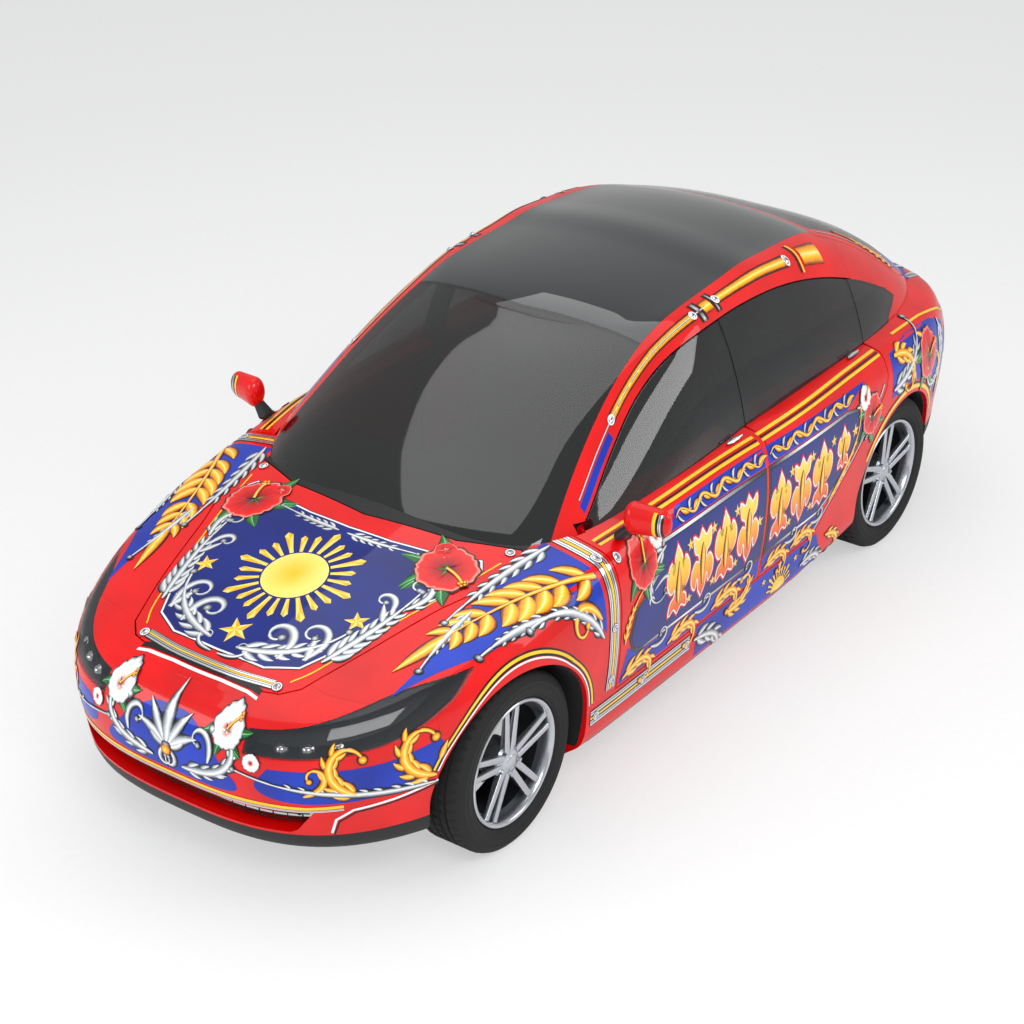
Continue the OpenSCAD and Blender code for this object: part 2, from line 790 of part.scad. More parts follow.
module knuckle() {
    x = track / 2 - knuckle_in;
    stub_axle(track / 2, front_axle_y);
    translate([x, front_axle_y, axle_z]) {
        translate([0, 0, 3 - pin_reach + lug]) cylinder(r = 30, h = 2 * (pin_reach - lug - 3));
        translate([0, 0, -pin_reach]) cylinder(r = kingpin_radius, h = 2 * pin_reach);
    }
}

module rear_axle() {
    slab([-rail_out - 20, rail_out + 20], [rear_axle_y - 145, rear_axle_y + 150], [axle_z - 120, rail_z]);
    for (m = [0, 1]) mirror([m, 0, 0]) {
        stub_axle(track / 2, rear_axle_y);
        translate([rail_out, rear_axle_y, axle_z])
            rotate([0, 90, 0]) cylinder(r = 42, h = track / 2 - rail_out - 50);
    }
}

// ---- wheels, turned about the X axis, outer face towards +X ----
tyre_wall = 13;
bead = rim_diameter / 2;
module on_axle(y) { translate([track / 2, y, axle_z]) rotate([0, 90, 0]) children(); }

module tyre(y) {
    r = tyre_diameter / 2;
    h = tyre_width / 2;
    middle = (bead + r) / 2;
    inside = h - tyre_wall;
    on_axle(y) rotate_extrude($fn = 72) difference() {
        polygon([
            [bead, -h + 22], [bead + 12, -h + 22], [bead + 22, -h + 8], [middle, -h], [r - 26, -h + 5],
            [r - 8, -h + 18], [r, -h + 36], [r, h - 36], [r - 8, h - 18], [r - 26, h - 5], [middle, h],
            [bead + 22, h - 8], [bead + 12, h - 22], [bead, h - 22]
        ]);
        polygon([
            [bead - 1, -inside + 30], [bead + 14, -inside + 16], [middle, -inside], [r - 28, -inside + 6],
            [r - tyre_wall, -h + 40], [r - tyre_wall, h - 40], [r - 28, inside - 6], [middle, inside],
            [bead + 14, inside - 16], [bead - 1, inside - 30]
        ]);
    }
}

spokes = 5;
hub_radius = 72;
module rim(y) {
    h = tyre_width / 2;
    on_axle(y) {
        // barrel with its two flanges
        rotate_extrude($fn = 72) polygon([
            [bead + 11, -h + 12], [bead + 11, -h + 21.7], [bead, -h + 21.7], [bead, -h + 52],
            [bead - 20, -h + 66], [bead - 20, h - 66], [bead, h - 52], [bead, h - 21.7],
            [bead + 11, h - 21.7], [bead + 11, h - 12], [bead - 8, h - 12], [bead - 8, h - 48],
            [bead - 28, h - 62], [bead - 28, -h + 62], [bead - 8, -h + 48], [bead - 8, -h + 12]
        ]);
        // face with windows between the spokes
        difference() {
            translate([0, 0, h - 62]) cylinder(r = bead - 24, h = 22);
            for (k = [0:spokes - 1]) rotate([0, 0, 360 / spokes * (k + 0.5)])
                translate([0, 0, h - 70]) linear_extrude(40)
                    polygon([
                        [hub_radius + 22, -14], [bead - 45, -88], [bead - 32, -50], [bead - 28, 0],
                        [bead - 32, 50], [bead - 45, 88], [hub_radius + 22, 14]
                    ]);
        }
        difference() {
            translate([0, 0, -12]) cylinder(r = hub_radius, h = h - 33);
            translate([0, 0, -13]) cylinder(r = stub_radius + 0.05, h = 74);
        }
    }
}

// ---- cabin ----
module dashboard() {
    side_prism([
        [bulkhead + 30 + seat, 620], [door_front + 250, 640], [door_front + 330, 760], [door_front + 340, 900],
        [door_front + 300, 945], [bulkhead + 30 + seat, 960]
    ], 0, -690, 690);
    slab([-console, console], [door_front + 240, door_front + 1000], [floor_top, 640]);
    // steering column
    column() translate([0, 0, -170]) cylinder(r = 24, h = 110);
    column() translate([0, 0, -70]) cylinder(r = 14, h = 70);
}

column_x = 370;                                   // steering wheel and driver off the centre line
console = column_x - seat_width / 2 - 8;          // half width of the centre console
column_place = [column_x, door_front + 450, 905]; // centre of the steering wheel
column_tilt = 24;                                 // tilt of its axis above level
module column() { translate(column_place) rotate([column_tilt - 90, 0, 0]) children(); }

module steering_wheel() {
    column() {
        rotate_extrude($fn = 60) translate([steering_radius, 0]) circle(r = 15, $fn = 24);
        difference() {
            translate([0, 0, -50]) cylinder(r = 40, h = 70);
            translate([0, 0, -51]) cylinder(r = 14.05, h = 55);
        }
        for (a = [0, 90, 180])
            rotate([0, 0, a]) translate([30, -16, -9]) cube([steering_radius - 32, 32, 18]);
    }
}

// One seat: cushion, back and head rest, of a width.
module seat_shape(w, y, x, back_top) {
    translate([x - w / 2, 0, 0]) {
        side_prism([
            [y - 250, floor_top + 150], [y - 240, floor_top + 265], [y + 250, floor_top + 235],
            [y + 250, floor_top + 120], [y - 200, floor_top + 120]
        ], 0, 0, w);
        side_prism([
            [y + 250.3, floor_top + 130], [y + 250.3, floor_top + 300], [y + 350, back_top],
            [y + 440, back_top], [y + 380, floor_top + 300], [y + 350, floor_top + 130]
        ], 0, 0, w);
        // runners down to the floor
        for (side = [40, w - 80])
            slab([side, side + 40], [y - 180, y + 180], [floor_top + seat, floor_top + 120]);
    }
}
module head_rest(x, y, z) {
    slab([x - 120, x + 120], [y - 40, y + 50], [z + 45, z + 200]);
    for (s = [-60, 60]) translate([x + s, y, z - 30]) cylinder(r = 7, h = 80);
}

front_seat_y = door_front + 852;
rear_seat_y = kick_up - 365;
module front_seats() {
    for (x = [-column_x, column_x]) {
        seat_shape(seat_width, front_seat_y, x, 930);
        head_rest(x, front_seat_y + 395, 930);
    }
}

module rear_bench() {
    seat_shape(1260, rear_seat_y, 0, 960);
    for (x = [-400, 0, 400]) head_rest(x, rear_seat_y + 395, 960);
}

paint(BLACK) floor_pan();
paint(BLACK) battery_pack();
paint(BLACK) front_subframe();
paint(BLACK) rear_axle();
paint(BLACK)  // wheel_houses
    both() { wheel_house(front_axle_y, front_house); wheel_house(rear_axle_y, rear_house); }
paint(BLACK) both() side_frame();  // side_frames
paint(RED) both() side_panel();  // side_panels
paint(RED) both() fender();  // front_fenders
paint(RED) front_bumper();
paint(RED) rear_bumper();
paint(BLACK) { front_valance(); rear_valance(); }  // valances
paint(RED) both() roof_rail();  // roof_rails
paint(BLACK) cowl();
paint(GLASS) windscreen();
paint(GLASS) roof_glass();
paint(GLASS) both() quarter_window();  // quarter_windows
paint(CHROME) both() headlight();  // headlights
paint(RED) both() tail_light();  // tail_lights
paint(BLACK) dashboard();
paint(BLACK) front_seats();
paint(BLACK) rear_bench();
paint(RED) door(FRONT_DOOR);  // front_left_door
paint(RED) right() door(FRONT_DOOR);  // front_right_door
paint(RED) door(REAR_DOOR);  // rear_left_door
paint(RED) right() door(REAR_DOOR);  // rear_right_door
paint(GLASS) front_window();  // front_left_window
paint(GLASS) right() front_window();  // front_right_window
paint(GLASS) rear_window();  // rear_left_window
paint(GLASS) right() rear_window();  // rear_right_window
paint(RED) mirror_cap();  // left_mirror
paint(RED) right() mirror_cap();  // right_mirror
paint(RED) bonnet();
paint(RED) tailgate();
paint(GLASS) tailgate_glass();
paint(BLACK) steering_wheel();
paint(BLACK) knuckle();  // left_knuckle
paint(BLACK) right() knuckle();  // right_knuckle
paint(CHROME) rim(front_axle_y);  // front_left_rim
paint(CHROME) right() rim(front_axle_y);  // front_right_rim
paint(CHROME) rim(rear_axle_y);  // rear_left_rim
paint(CHROME) right() rim(rear_axle_y);  // rear_right_rim
paint(BLACK) tyre(front_axle_y);  // front_left_tyre
paint(BLACK) right() tyre(front_axle_y);  // front_right_tyre
paint(BLACK) tyre(rear_axle_y);  // rear_left_tyre
paint(BLACK) right() tyre(rear_axle_y);  // rear_right_tyre
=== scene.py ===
"""Four-door fastback car whose skin carries painted folk-art ornament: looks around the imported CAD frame."""
import math

import bmesh
import bpy
from mathutils import Matrix, Vector
from mathutils.bvhtree import BVHTree


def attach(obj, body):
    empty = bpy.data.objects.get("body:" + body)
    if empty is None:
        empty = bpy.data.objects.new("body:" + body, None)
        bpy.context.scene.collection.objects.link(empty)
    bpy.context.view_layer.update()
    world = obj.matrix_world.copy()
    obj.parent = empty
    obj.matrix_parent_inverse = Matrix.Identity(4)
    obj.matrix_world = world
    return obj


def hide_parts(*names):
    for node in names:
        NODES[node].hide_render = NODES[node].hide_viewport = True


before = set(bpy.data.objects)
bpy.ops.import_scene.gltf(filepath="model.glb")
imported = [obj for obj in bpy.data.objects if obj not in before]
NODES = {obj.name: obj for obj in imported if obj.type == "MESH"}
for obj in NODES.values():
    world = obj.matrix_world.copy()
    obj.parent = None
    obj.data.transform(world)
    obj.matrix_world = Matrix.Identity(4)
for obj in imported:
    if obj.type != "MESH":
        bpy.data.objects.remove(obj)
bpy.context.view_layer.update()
MM = 0.001
# edges sharper than these stay crisp on panels and on painted relief
PANEL_EDGE, RELIEF_EDGE = 32, 38

# ---------------------------------------------------------------- places, in millimetres, as in the CAD model
WHEELBASE, FRONT_OVERHANG, REAR_OVERHANG = 2890, 880, 980
HALF = 960
NOSE = -(FRONT_OVERHANG + WHEELBASE + REAR_OVERHANG) / 2
TAIL = -NOSE
FRONT_AXLE = NOSE + FRONT_OVERHANG
REAR_AXLE = TAIL - REAR_OVERHANG
AXLE_Z = 356
ARCH = 397.3  # radius of the wheel arches
# gap round a lid or door, gap between fixed panels, clearance of a fitted pane
SEAM, JOINT, SEAT = 6, 0.8, 0.3
# depths of the body shell, of a lid and of the glass
WALL, LID, GLASS = 90, 40, 8
# past the widest and the highest point of the car
REACH, TOP = 1160, 2000
DOOR_FRONT = FRONT_AXLE + 583
DOOR_SPLIT = FRONT_AXLE + 1640
SPLIT_LEAN = 50
DOOR_REAR = REAR_AXLE - 187
DOOR_FOOT = 400
BELT = 1003
BONNET_FRONT = NOSE + 190
BONNET_REAR = FRONT_AXLE + 400
BONNET_REAR_HALF = 652
COWL_HALF = BONNET_REAR_HALF - 10
COWL_REAR = DOOR_FRONT + 90
GATE_FRONT = REAR_AXLE - 190
LAMP_INNER = 560
GATE_FOOT, GATE_FOOT_HALF = 650, 500
BUMPER_SEAM = FRONT_AXLE - 373
QUARTER_SEAM = REAR_AXLE + 585
HEADER = NOSE + 2190
STEP, LID_SKIN, LID_STEP = 9, 10, 12

# ---------------------------------------------------------------- body surfaces
# A level is one line round the body: half width, nose, front shoulder, rear shoulder, tail, front and
# rear roundness, then its height at those five places along the car.
FRONT_SHOULDER, REAR_SHOULDER = FRONT_AXLE + 795, REAR_AXLE - 795
HULL = [
    (HALF - 95, NOSE + 120, FRONT_SHOULDER, REAR_SHOULDER, TAIL - 90, 3, 3.6, 205, 185, 185, 190, 330),
    (HALF - 34, NOSE + 45, FRONT_SHOULDER, REAR_SHOULDER, TAIL - 35, 3, 3.6, 265, 240, 240, 250, 400),
    (HALF - 20, NOSE + 15, FRONT_SHOULDER, REAR_SHOULDER, TAIL - 10, 3, 3.6, 390, 385, 385, 400, 520),
    (HALF, NOSE, FRONT_SHOULDER, REAR_SHOULDER, TAIL, 3, 3.6, 540, 610, 620, 650, 690),
    (HALF - 6, NOSE + 18, FRONT_SHOULDER, REAR_SHOULDER, TAIL - 25, 3, 3.6, 655, 850, 870, 905, 860),
    (HALF - 50, NOSE + 68, FRONT_SHOULDER, REAR_SHOULDER, TAIL - 70, 3, 3.6, 728, 975, 998, 1030, 968),
    (HALF - 112, NOSE + 140, FRONT_SHOULDER, REAR_SHOULDER, TAIL - 130, 3, 3.6, 765, 1005, 1025, 1055, 1000),
]
CABIN = [
    (HALF - 130, NOSE + 1125, -120, 480, TAIL - 130, 3.6, 3.4, 940, 985, 1000, 1015, 985),
    (HALF - 145, NOSE + 1235, -100, 500, TAIL - 200, 3.6, 3.4, 1035, 1045, 1055, 1068, 1060),
    (HALF - 185, NOSE + 1430, 0, 560, TAIL - 360, 3.3, 3.3, 1175, 1190, 1200, 1205, 1178),
    (HALF - 238, NOSE + 1650, 130, 620, TAIL - 570, 3.1, 3.2, 1315, 1338, 1348, 1342, 1308),
    (HALF - 292, NOSE + 1880, 260, 700, TAIL - 820, 3, 3.1, 1425, 1450, 1462, 1455, 1420),
    (HALF - 350, NOSE + 2110, 380, 760, TAIL - 1090, 3, 3.1, 1500, 1532, 1545, 1535, 1503),
]
HULL_CROWN, CABIN_CROWN = 78, 66
DECK_STEPS = (0.8, 0.55, 0.28, 0)
NOSE_STEPS, SIDE_STEPS, TAIL_STEPS = 56, 24, 56
ROWS_PER_LEVEL = 4


def curve(xs, ys, x):
    """Smooth curve through the points (xs, ys), read at x."""
    i = 0
    while i < len(xs) - 2 and x > xs[i + 1]:
        i += 1

    def slope(k):
        a, b = max(0, k - 1), min(len(xs) - 1, k + 1)
        return (ys[b] - ys[a]) / (xs[b] - xs[a])

    h = xs[i + 1] - xs[i]
    t = min(1.0, max(0.0, (x - xs[i]) / h))
    return (
        ys[i] * (2 * t**3 - 3 * t**2 + 1)
        + slope(i) * h * (t**3 - 2 * t**2 + t)
        + ys[i + 1] * (3 * t**2 - 2 * t**3)
        + slope(i + 1) * h * (t**3 - t**2)
    )


def even(t):
    """Spreads stations evenly round a superellipse quarter."""
    return t**1.5 / (t**1.5 + (1 - t) ** 1.5)


STATIONS = (
    [(0, even(i / NOSE_STEPS)) for i in range(NOSE_STEPS + 1)]
    + [(1, i / SIDE_STEPS) for i in range(1, SIDE_STEPS + 1)]
    + [(2, even(i / TAIL_STEPS)) for i in range(1, TAIL_STEPS + 1)]
)


def ring_point(level, station, inset, drop):
    """A level's point at a station, moved in by inset and down by drop."""
    w = level[0] - inset
    start, end = level[1] + inset, level[4] - inset
    y1, y2 = level[2], level[3]
    stretch, share = station
    a = math.radians(90 * share)
    if stretch == 0:
        x, y = w * math.sin(a) ** (2 / level[5]), y1 - (y1 - start) * max(0, math.cos(a)) ** (2 / level[5])
    elif stretch == 1:
        x, y = w, y1 + (y2 - y1) * share
    else:
        x, y = w * max(0, math.cos(a)) ** (2 / level[6]), y2 + (end - y2) * math.sin(a) ** (2 / level[6])
    return Vector((x, y, curve([start, y1, (y1 + y2) / 2, y2, end], level[7:12], y) - drop))


def section(levels, station, crown, inset, drop, foot):
    """Points of one section, from its foot on the centre line round to the middle of the deck."""
    last = len(levels) - 1
    side = [ring_point(levels[k], station, inset, drop * k / last) for k in range(last + 1)]
    edge, w = side[-1], levels[-1][0]
    deck = [
        Vector((edge.x * f, edge.y, edge.z + crown * (1 - f * f) * (edge.x / w) ** 2)) for f in DECK_STEPS
    ]
    over = Vector((-deck[-2].x, deck[-2].y, deck[-2].z))
    line = side + deck + [over]
    knots = [0.0]
    for a, b in zip(line, line[1:]):
        knots.append(knots[-1] + max((b - a).length, 1.0))
    coords = [[p[k] for p in line] for k in range(3)]
    fine = []
    for k in range(len(line) - 2):
        for j in range(ROWS_PER_LEVEL):
            x = knots[k] + (knots[k + 1] - knots[k]) * j / ROWS_PER_LEVEL
            fine.append(Vector([curve(knots, c, x) for c in coords]))
    fine.append(deck[-1])
    fine[-1].x = 0
    lowest = fine[0]
    under = [Vector((lowest.x, lowest.y, foot))] if foot is not None else [lowest.copy()]
    return [Vector((0, under[0].y, under[0].z))] + under + fine


def new_object(name, bm):
    """Object made from a bmesh whose lengths are millimetres."""
    bmesh.ops.scale(bm, vec=(MM, MM, MM), verts=bm.verts)
    mesh = bpy.data.meshes.new(name)
    bm.to_mesh(mesh)
    bm.free()
    made = bpy.data.objects.new(name, mesh)
    bpy.context.scene.collection.objects.link(made)
    return made


def smoothed(piece, angle):
    """Shades the curved faces smoothly and leaves edges over the angle crisp."""
    piece.data.shade_smooth()
    piece.data.set_sharp_from_angle(angle=math.radians(angle))


scratch = []


def keep_scratch(made):
    """Notes a helper shape that is removed at the end."""
    scratch.append(made)
    return made


def bulk(levels, crown, inset=0, drop=0, foot=None):
    """Closed solid of a body's outer shape."""
    rows = [section(levels, s, crown, inset, drop, foot) for s in STATIONS]
    bm = bmesh.new()
    bmesh.ops.create_grid(bm, x_segments=len(rows[0]) - 1, y_segments=len(rows) - 1, size=1)
    nx, ny = len(rows[0]) - 1, len(rows) - 1
    for v in bm.verts:
        v.co = rows[round((v.co.y + 1) / 2 * ny)][round((v.co.x + 1) / 2 * nx)]
    both_halves = bm.verts[:] + bm.edges[:] + bm.faces[:]
    bmesh.ops.mirror(bm, geom=both_halves, axis="X", merge_dist=0.001)
    bmesh.ops.remove_doubles(bm, verts=bm.verts, dist=0.01)
    bmesh.ops.dissolve_degenerate(bm, edges=bm.edges, dist=0.001)
    bmesh.ops.recalc_face_normals(bm, faces=bm.faces)
    return keep_scratch(new_object("bulk", bm))


def hull(inset=0, drop=None, foot=100):
    """Lower body, moved in by inset."""
    return bulk(HULL, HULL_CROWN, inset, inset if drop is None else drop, None if inset == 0 else foot)


def cabin(inset=0, foot=850):
    """Glasshouse above the belt, moved in by inset."""
    return bulk(CABIN, CABIN_CROWN, inset, inset, foot)


# ---------------------------------------------------------------- solid helpers
def combined(a, b, operation):
    """New solid from two, by a Boolean operation."""
    made = bpy.data.objects.new("cut", a.data.copy())
    bpy.context.scene.collection.objects.link(made)
    cut = made.modifiers.new("cut", "BOOLEAN")
    cut.operation, cut.solver, cut.object = operation, "MANIFOLD", b
    graph = bpy.context.evaluated_depsgraph_get()
    mesh = bpy.data.meshes.new_from_object(made.evaluated_get(graph))
    made.modifiers.clear()
    made.data = mesh
    return keep_scratch(made)


def minus(a, *others):
    for b in others:
        a = combined(a, b, "DIFFERENCE")
    return a


def both(a, *others):
    for b in others:
        a = combined(a, b, "INTERSECT")
    return a


def plus(a, *others):
    for b in others:
        a = combined(a, b, "UNION")
    return a


def offset(points, grow):
    """The outline with every side moved out by grow."""
    if not grow:
        return list(points)
    turn = sum(a[0] * b[1] - b[0] * a[1] for a, b in zip(points, points[1:] + points[:1]))
    sign = 1 if turn > 0 else -1
    count, moved = len(points), []
    for i in range(count):
        p, q, r = Vector(points[i - 1]), Vector(points[i]), Vector(points[(i + 1) % count])
        d1, d2 = (q - p).normalized(), (r - q).normalized()
        n1, n2 = Vector((d1.y, -d1.x)) * sign, Vector((d2.y, -d2.x)) * sign
        miter = n1 + n2
        scale = grow / max(0.3, 0.5 * miter.length_squared)
        moved.append((q.x + miter.x * scale, q.y + miter.y * scale))
    return moved


def prism(outline, place, along):
    """Closed prism: the outline's corners, put in place by the function, and the same moved along."""
    bm = bmesh.new()
    face = bm.faces.new([bm.verts.new(place(p)) for p in outline])
    moved = bmesh.ops.extrude_face_region(bm, geom=[face])
    bmesh.ops.translate(bm, vec=along, verts=[g for g in moved["geom"] if isinstance(g, bmesh.types.BMVert)])
    bmesh.ops.recalc_face_normals(bm, faces=bm.faces)
    return keep_scratch(new_object("prism", bm))


def side_prism(points, grow=0, x0=-REACH, x1=REACH):
    """Prism along X of a [y, z] outline."""
    return prism(offset(points, grow), lambda p: (x0, p[0], p[1]), (x1 - x0, 0, 0))


def plan_prism(points, grow=0, z0=500, z1=TOP):
    """Upright prism of an [x, y] outline of the left half, mirrored."""
    whole = list(points) + [(-x, y) for x, y in reversed(points) if x > 0]
    return prism(offset(whole, grow), lambda p: (p[0], p[1], z0), (0, 0, z1 - z0))


def slab(x, y, z):
    bm = bmesh.new()
    bmesh.ops.create_cube(bm, size=1)
    bmesh.ops.scale(bm, vec=(x[1] - x[0], y[1] - y[0], z[1] - z[0]), verts=bm.verts)
    bmesh.ops.translate(bm, vec=((x[0] + x[1]) / 2, (y[0] + y[1]) / 2, (z[0] + z[1]) / 2), verts=bm.verts)
    return keep_scratch(new_object("slab", bm))


def arch(y, radius=ARCH):
    bm = bmesh.new()
    bmesh.ops.create_cone(bm, cap_ends=True, segments=128, radius1=radius, radius2=radius, depth=2 * REACH)
    bmesh.ops.rotate(bm, matrix=Matrix.Rotation(math.pi / 2, 3, "Y"), verts=bm.verts)
    bmesh.ops.translate(bm, vec=(0, y, AXLE_Z), verts=bm.verts)
    return keep_scratch(new_object("arch", bm))


# ---------------------------------------------------------------- outlines, in millimetres
FRONT_DOOR = [
    (DOOR_FRONT, DOOR_FOOT), (DOOR_SPLIT, DOOR_FOOT), (DOOR_SPLIT + SPLIT_LEAN, BELT + 80),
    (DOOR_FRONT, BELT + 80)
]
REAR_DOOR = [
    (DOOR_SPLIT, DOOR_FOOT), (REAR_AXLE - 793, DOOR_FOOT), (DOOR_REAR - 22, BELT - 125),
    (DOOR_REAR, BELT - 70),
    (DOOR_REAR, BELT + 80), (DOOR_SPLIT + SPLIT_LEAN, BELT + 80)
]
SIDE_GLASS = [
    (DOOR_FRONT + y, BELT + z) for y, z in (
        (42, -48), (62, 22), (290, 190), (530, 335), (800, 428), (1150, 466), (1500, 462), (1850, 405),
        (2200, 290), (2480, 160), (2560, 100), (2440, 60), (2300, -48))
]
HEADLIGHT = [
    (NOSE + y, z) for y, z in (
        (715, 838), (480, 815), (270, 772), (90, 722), (-50, 690), (-50, 632), (150, 648), (390, 690),
        (590, 765))
]
TAIL_LIGHT = [(TAIL - 385, 885), (TAIL - 300, 925), (TAIL + 50, 925), (TAIL + 50, 800), (TAIL - 250, 800)]
FRONT_BUMPER = [
    (NOSE - 100, 318), (FRONT_AXLE - 300, 318), (BUMPER_SEAM, 480), (BUMPER_SEAM, 760),
    (NOSE + 311, 800), (NOSE + 311, 1000), (NOSE - 100, 1000)
]
REAR_BUMPER = [
    (REAR_AXLE + 300, 440), (REAR_AXLE + 300, 505), (QUARTER_SEAM, 650), (QUARTER_SEAM + 20, 803),
    (TAIL + 100, 803), (TAIL + 100, 440)
]
BONNET = [
    (0, BONNET_FRONT), (250, BONNET_FRONT + 8), (345, BONNET_FRONT + 35), (400, BONNET_FRONT + 90),
    (482, BONNET_FRONT + 330), (570, BONNET_FRONT + 640), (BONNET_REAR_HALF - 30, BONNET_REAR - 300),
    (BONNET_REAR_HALF, BONNET_REAR - 100), (BONNET_REAR_HALF, BONNET_REAR - 20),
    (BONNET_REAR_HALF - 20, BONNET_REAR), (400, BONNET_REAR - 98), (0, BONNET_REAR - 150)
]
WINDSCREEN = [
    (0, NOSE + 1000), (690, NOSE + 1000), (690, NOSE + 1380), (625, NOSE + 1650), (572, NOSE + 1950),
    (545, HEADER), (0, HEADER - 45)
]
ROOF_GLASS = [(0, HEADER - 45), (545, HEADER), (532, GATE_FRONT - 500), (515, GATE_FRONT), (0, GATE_FRONT)]
TAILGATE = [
    (0, GATE_FRONT), (545, GATE_FRONT), (590, GATE_FRONT + 320), (632, GATE_FRONT + 600),
    (600, GATE_FRONT + 760), (LAMP_INNER, GATE_FRONT + 880), (LAMP_INNER, TAIL + 100), (0, TAIL + 100)
]
REAR_GLASS = [
    (0, GATE_FRONT + 45), (478, GATE_FRONT + 45), (520, GATE_FRONT + 320), (545, GATE_FRONT + 560),
    (510, GATE_FRONT + 640), (360, GATE_FRONT + 690), (0, GATE_FRONT + 705)
]
PILLAR_AT = DOOR_SPLIT + SPLIT_LEAN


def bent(points, steps=12):
    """Smooth path through points."""
    knots = list(range(len(points)))
    n = (len(points) - 1) * steps
    return [tuple(curve(knots, [p[k] for p in points], i / steps) for k in (0, 1)) for i in range(n + 1)]


def flowing(points, first, last):
    """The outline with the run between two of its corners smoothed."""
    return points[:first] + bent(points[first : last + 1], 5) + points[last + 1 :]


SIDE_GLASS = flowing(SIDE_GLASS, 1, 9)
BONNET = flowing(BONNET, 3, 7)
WINDSCREEN = flowing(WINDSCREEN, 2, 5)
TAILGATE = flowing(TAILGATE, 1, 5)
REAR_GLASS = flowing(REAR_GLASS, 1, 5)
HEADLIGHT = flowing(flowing(HEADLIGHT, 5, 8), 0, 4)


def gate_zone(grow=0):
    upper = both(
        plan_prism(TAILGATE, grow), slab((-REACH, REACH), (GATE_FRONT - 10, TAIL + 200), (800 - grow, TOP))
    )
    lower = slab(
        (-GATE_FOOT_HALF - grow, GATE_FOOT_HALF + grow), (TAIL - 600, TAIL + 200), (GATE_FOOT - grow, 850)
    )
    return plus(upper, lower)


# ---------------------------------------------------------------- panels
hull_0, hull_in, hull_even = hull(), hull(WALL, LID), hull(LID)
cabin_0, cabin_fit = cabin(0, 900), cabin(-SEAT, 880)
cabin_glass, cabin_in = cabin(GLASS, 850), cabin(LID, 850)
hull_skin, lid_layer = minus(hull_0, hull_in), minus(hull_0, hull_even)
cabin_skin, glass_layer = minus(cabin_0, cabin_in), minus(cabin_0, cabin_glass)


def shade(piece, name, angle=32):
    """Names a finished panel, closes its doubles and shades its curved faces smoothly."""
    if piece in scratch:
        scratch.remove(piece)
    bm = bmesh.new()
    bm.from_mesh(piece.data)
    bmesh.ops.remove_doubles(bm, verts=bm.verts, dist=0.00002)
    bmesh.ops.dissolve_degenerate(bm, edges=bm.edges, dist=0.00001)
    bm.to_mesh(piece.data)
    bm.free()
    piece.name = piece.data.name = name
    piece.data.shade_smooth()
    piece.data.set_sharp_from_angle(angle=math.radians(angle))
    return piece


def mirrored(piece, name):
    """The same piece on the car's other side."""
    bm = bmesh.new()
    bm.from_mesh(piece.data)
    bmesh.ops.scale(bm, vec=(-1, 1, 1), verts=bm.verts)
    bmesh.ops.reverse_faces(bm, faces=bm.faces)
    mesh = bpy.data.meshes.new(name)
    bm.to_mesh(mesh)
    bm.free()
    for m in piece.data.materials:
        mesh.materials.append(m)
    made = bpy.data.objects.new(name, mesh)
    bpy.context.scene.collection.objects.link(made)
    return made


def fender():
    cuts = [
        cabin_fit, plan_prism(BONNET, SEAM / 2), side_prism(HEADLIGHT, SEAT, LAMP_INNER - 230),
        side_prism(FRONT_BUMPER, JOINT / 2), arch(FRONT_AXLE),
        slab((0, COWL_HALF), (BONNET_REAR - 175, COWL_REAR), (600, TOP)),
        slab((0, REACH), (DOOR_FRONT - SEAM / 2, TAIL), (0, TOP)),
    ]
    return minus(both(hull_skin, slab((240, REACH), (NOSE, 0), (DOOR_FOOT + JOINT / 2, TOP))), *cuts)


def side_panel():
    front = GATE_FRONT + 50
    behind = slab((0, REACH), (front, TAIL), (0, TOP))
    zone = gate_zone(SEAM / 2)
    glass_cut = side_prism(SIDE_GLASS, SEAT, 300)
    lower = minus(
        both(hull_skin, slab((400, REACH), (FRONT_AXLE + 150, TAIL + 100), (0, TOP))),
        minus(cabin_fit, behind), cabin_in, both(cabin_fit, glass_cut),
        side_prism(FRONT_DOOR, SEAM / 2), side_prism(REAR_DOOR, SEAM / 2),
        slab((0, REACH), (NOSE, DOOR_FRONT - 1), (DOOR_FOOT - JOINT / 2, TOP)),
        slab((0, REACH), (DOOR_FRONT - 2, DOOR_FRONT + 100), (DOOR_FOOT + 1, TOP)),
        side_prism(REAR_BUMPER, JOINT / 2), side_prism(TAIL_LIGHT, SEAT, LAMP_INNER - SEAT), zone,
        slab((0, REACH), (REAR_AXLE + 200, TAIL + 100), (0, 505)), arch(FRONT_AXLE), arch(REAR_AXLE),
    )
    upper = both(minus(cabin_skin, zone, glass_cut), slab((400, REACH), (front, TAIL), (980, TOP)))
    return plus(lower, upper)


def front_bumper():
    intake = prism(
        [(-560, 425), (560, 425), (505, 345), (480, 330), (-480, 330), (-505, 345)],
        lambda p: (p[0], NOSE - 100, p[1]), (0, 500, 0)
    )
    lamp = plus(
        side_prism(HEADLIGHT, SEAT, LAMP_INNER - 230), side_prism(HEADLIGHT, SEAT, -REACH, 230 - LAMP_INNER)
    )
    return minus(
        both(hull_skin, side_prism(FRONT_BUMPER, -JOINT / 2)), plan_prism(BONNET, SEAM / 2), lamp,
        arch(FRONT_AXLE),
        intake, slab((-REACH, REACH), (BUMPER_SEAM + 60, 0), (0, TOP))
    )


def rear_bumper():
    lamp = plus(
        side_prism(TAIL_LIGHT, SEAT, LAMP_INNER - SEAT),
        side_prism(TAIL_LIGHT, SEAT, -REACH, SEAT - LAMP_INNER)
    )
    return minus(
        both(hull_skin, side_prism(REAR_BUMPER, -JOINT / 2)), gate_zone(SEAM / 2), lamp, arch(REAR_AXLE)
    )


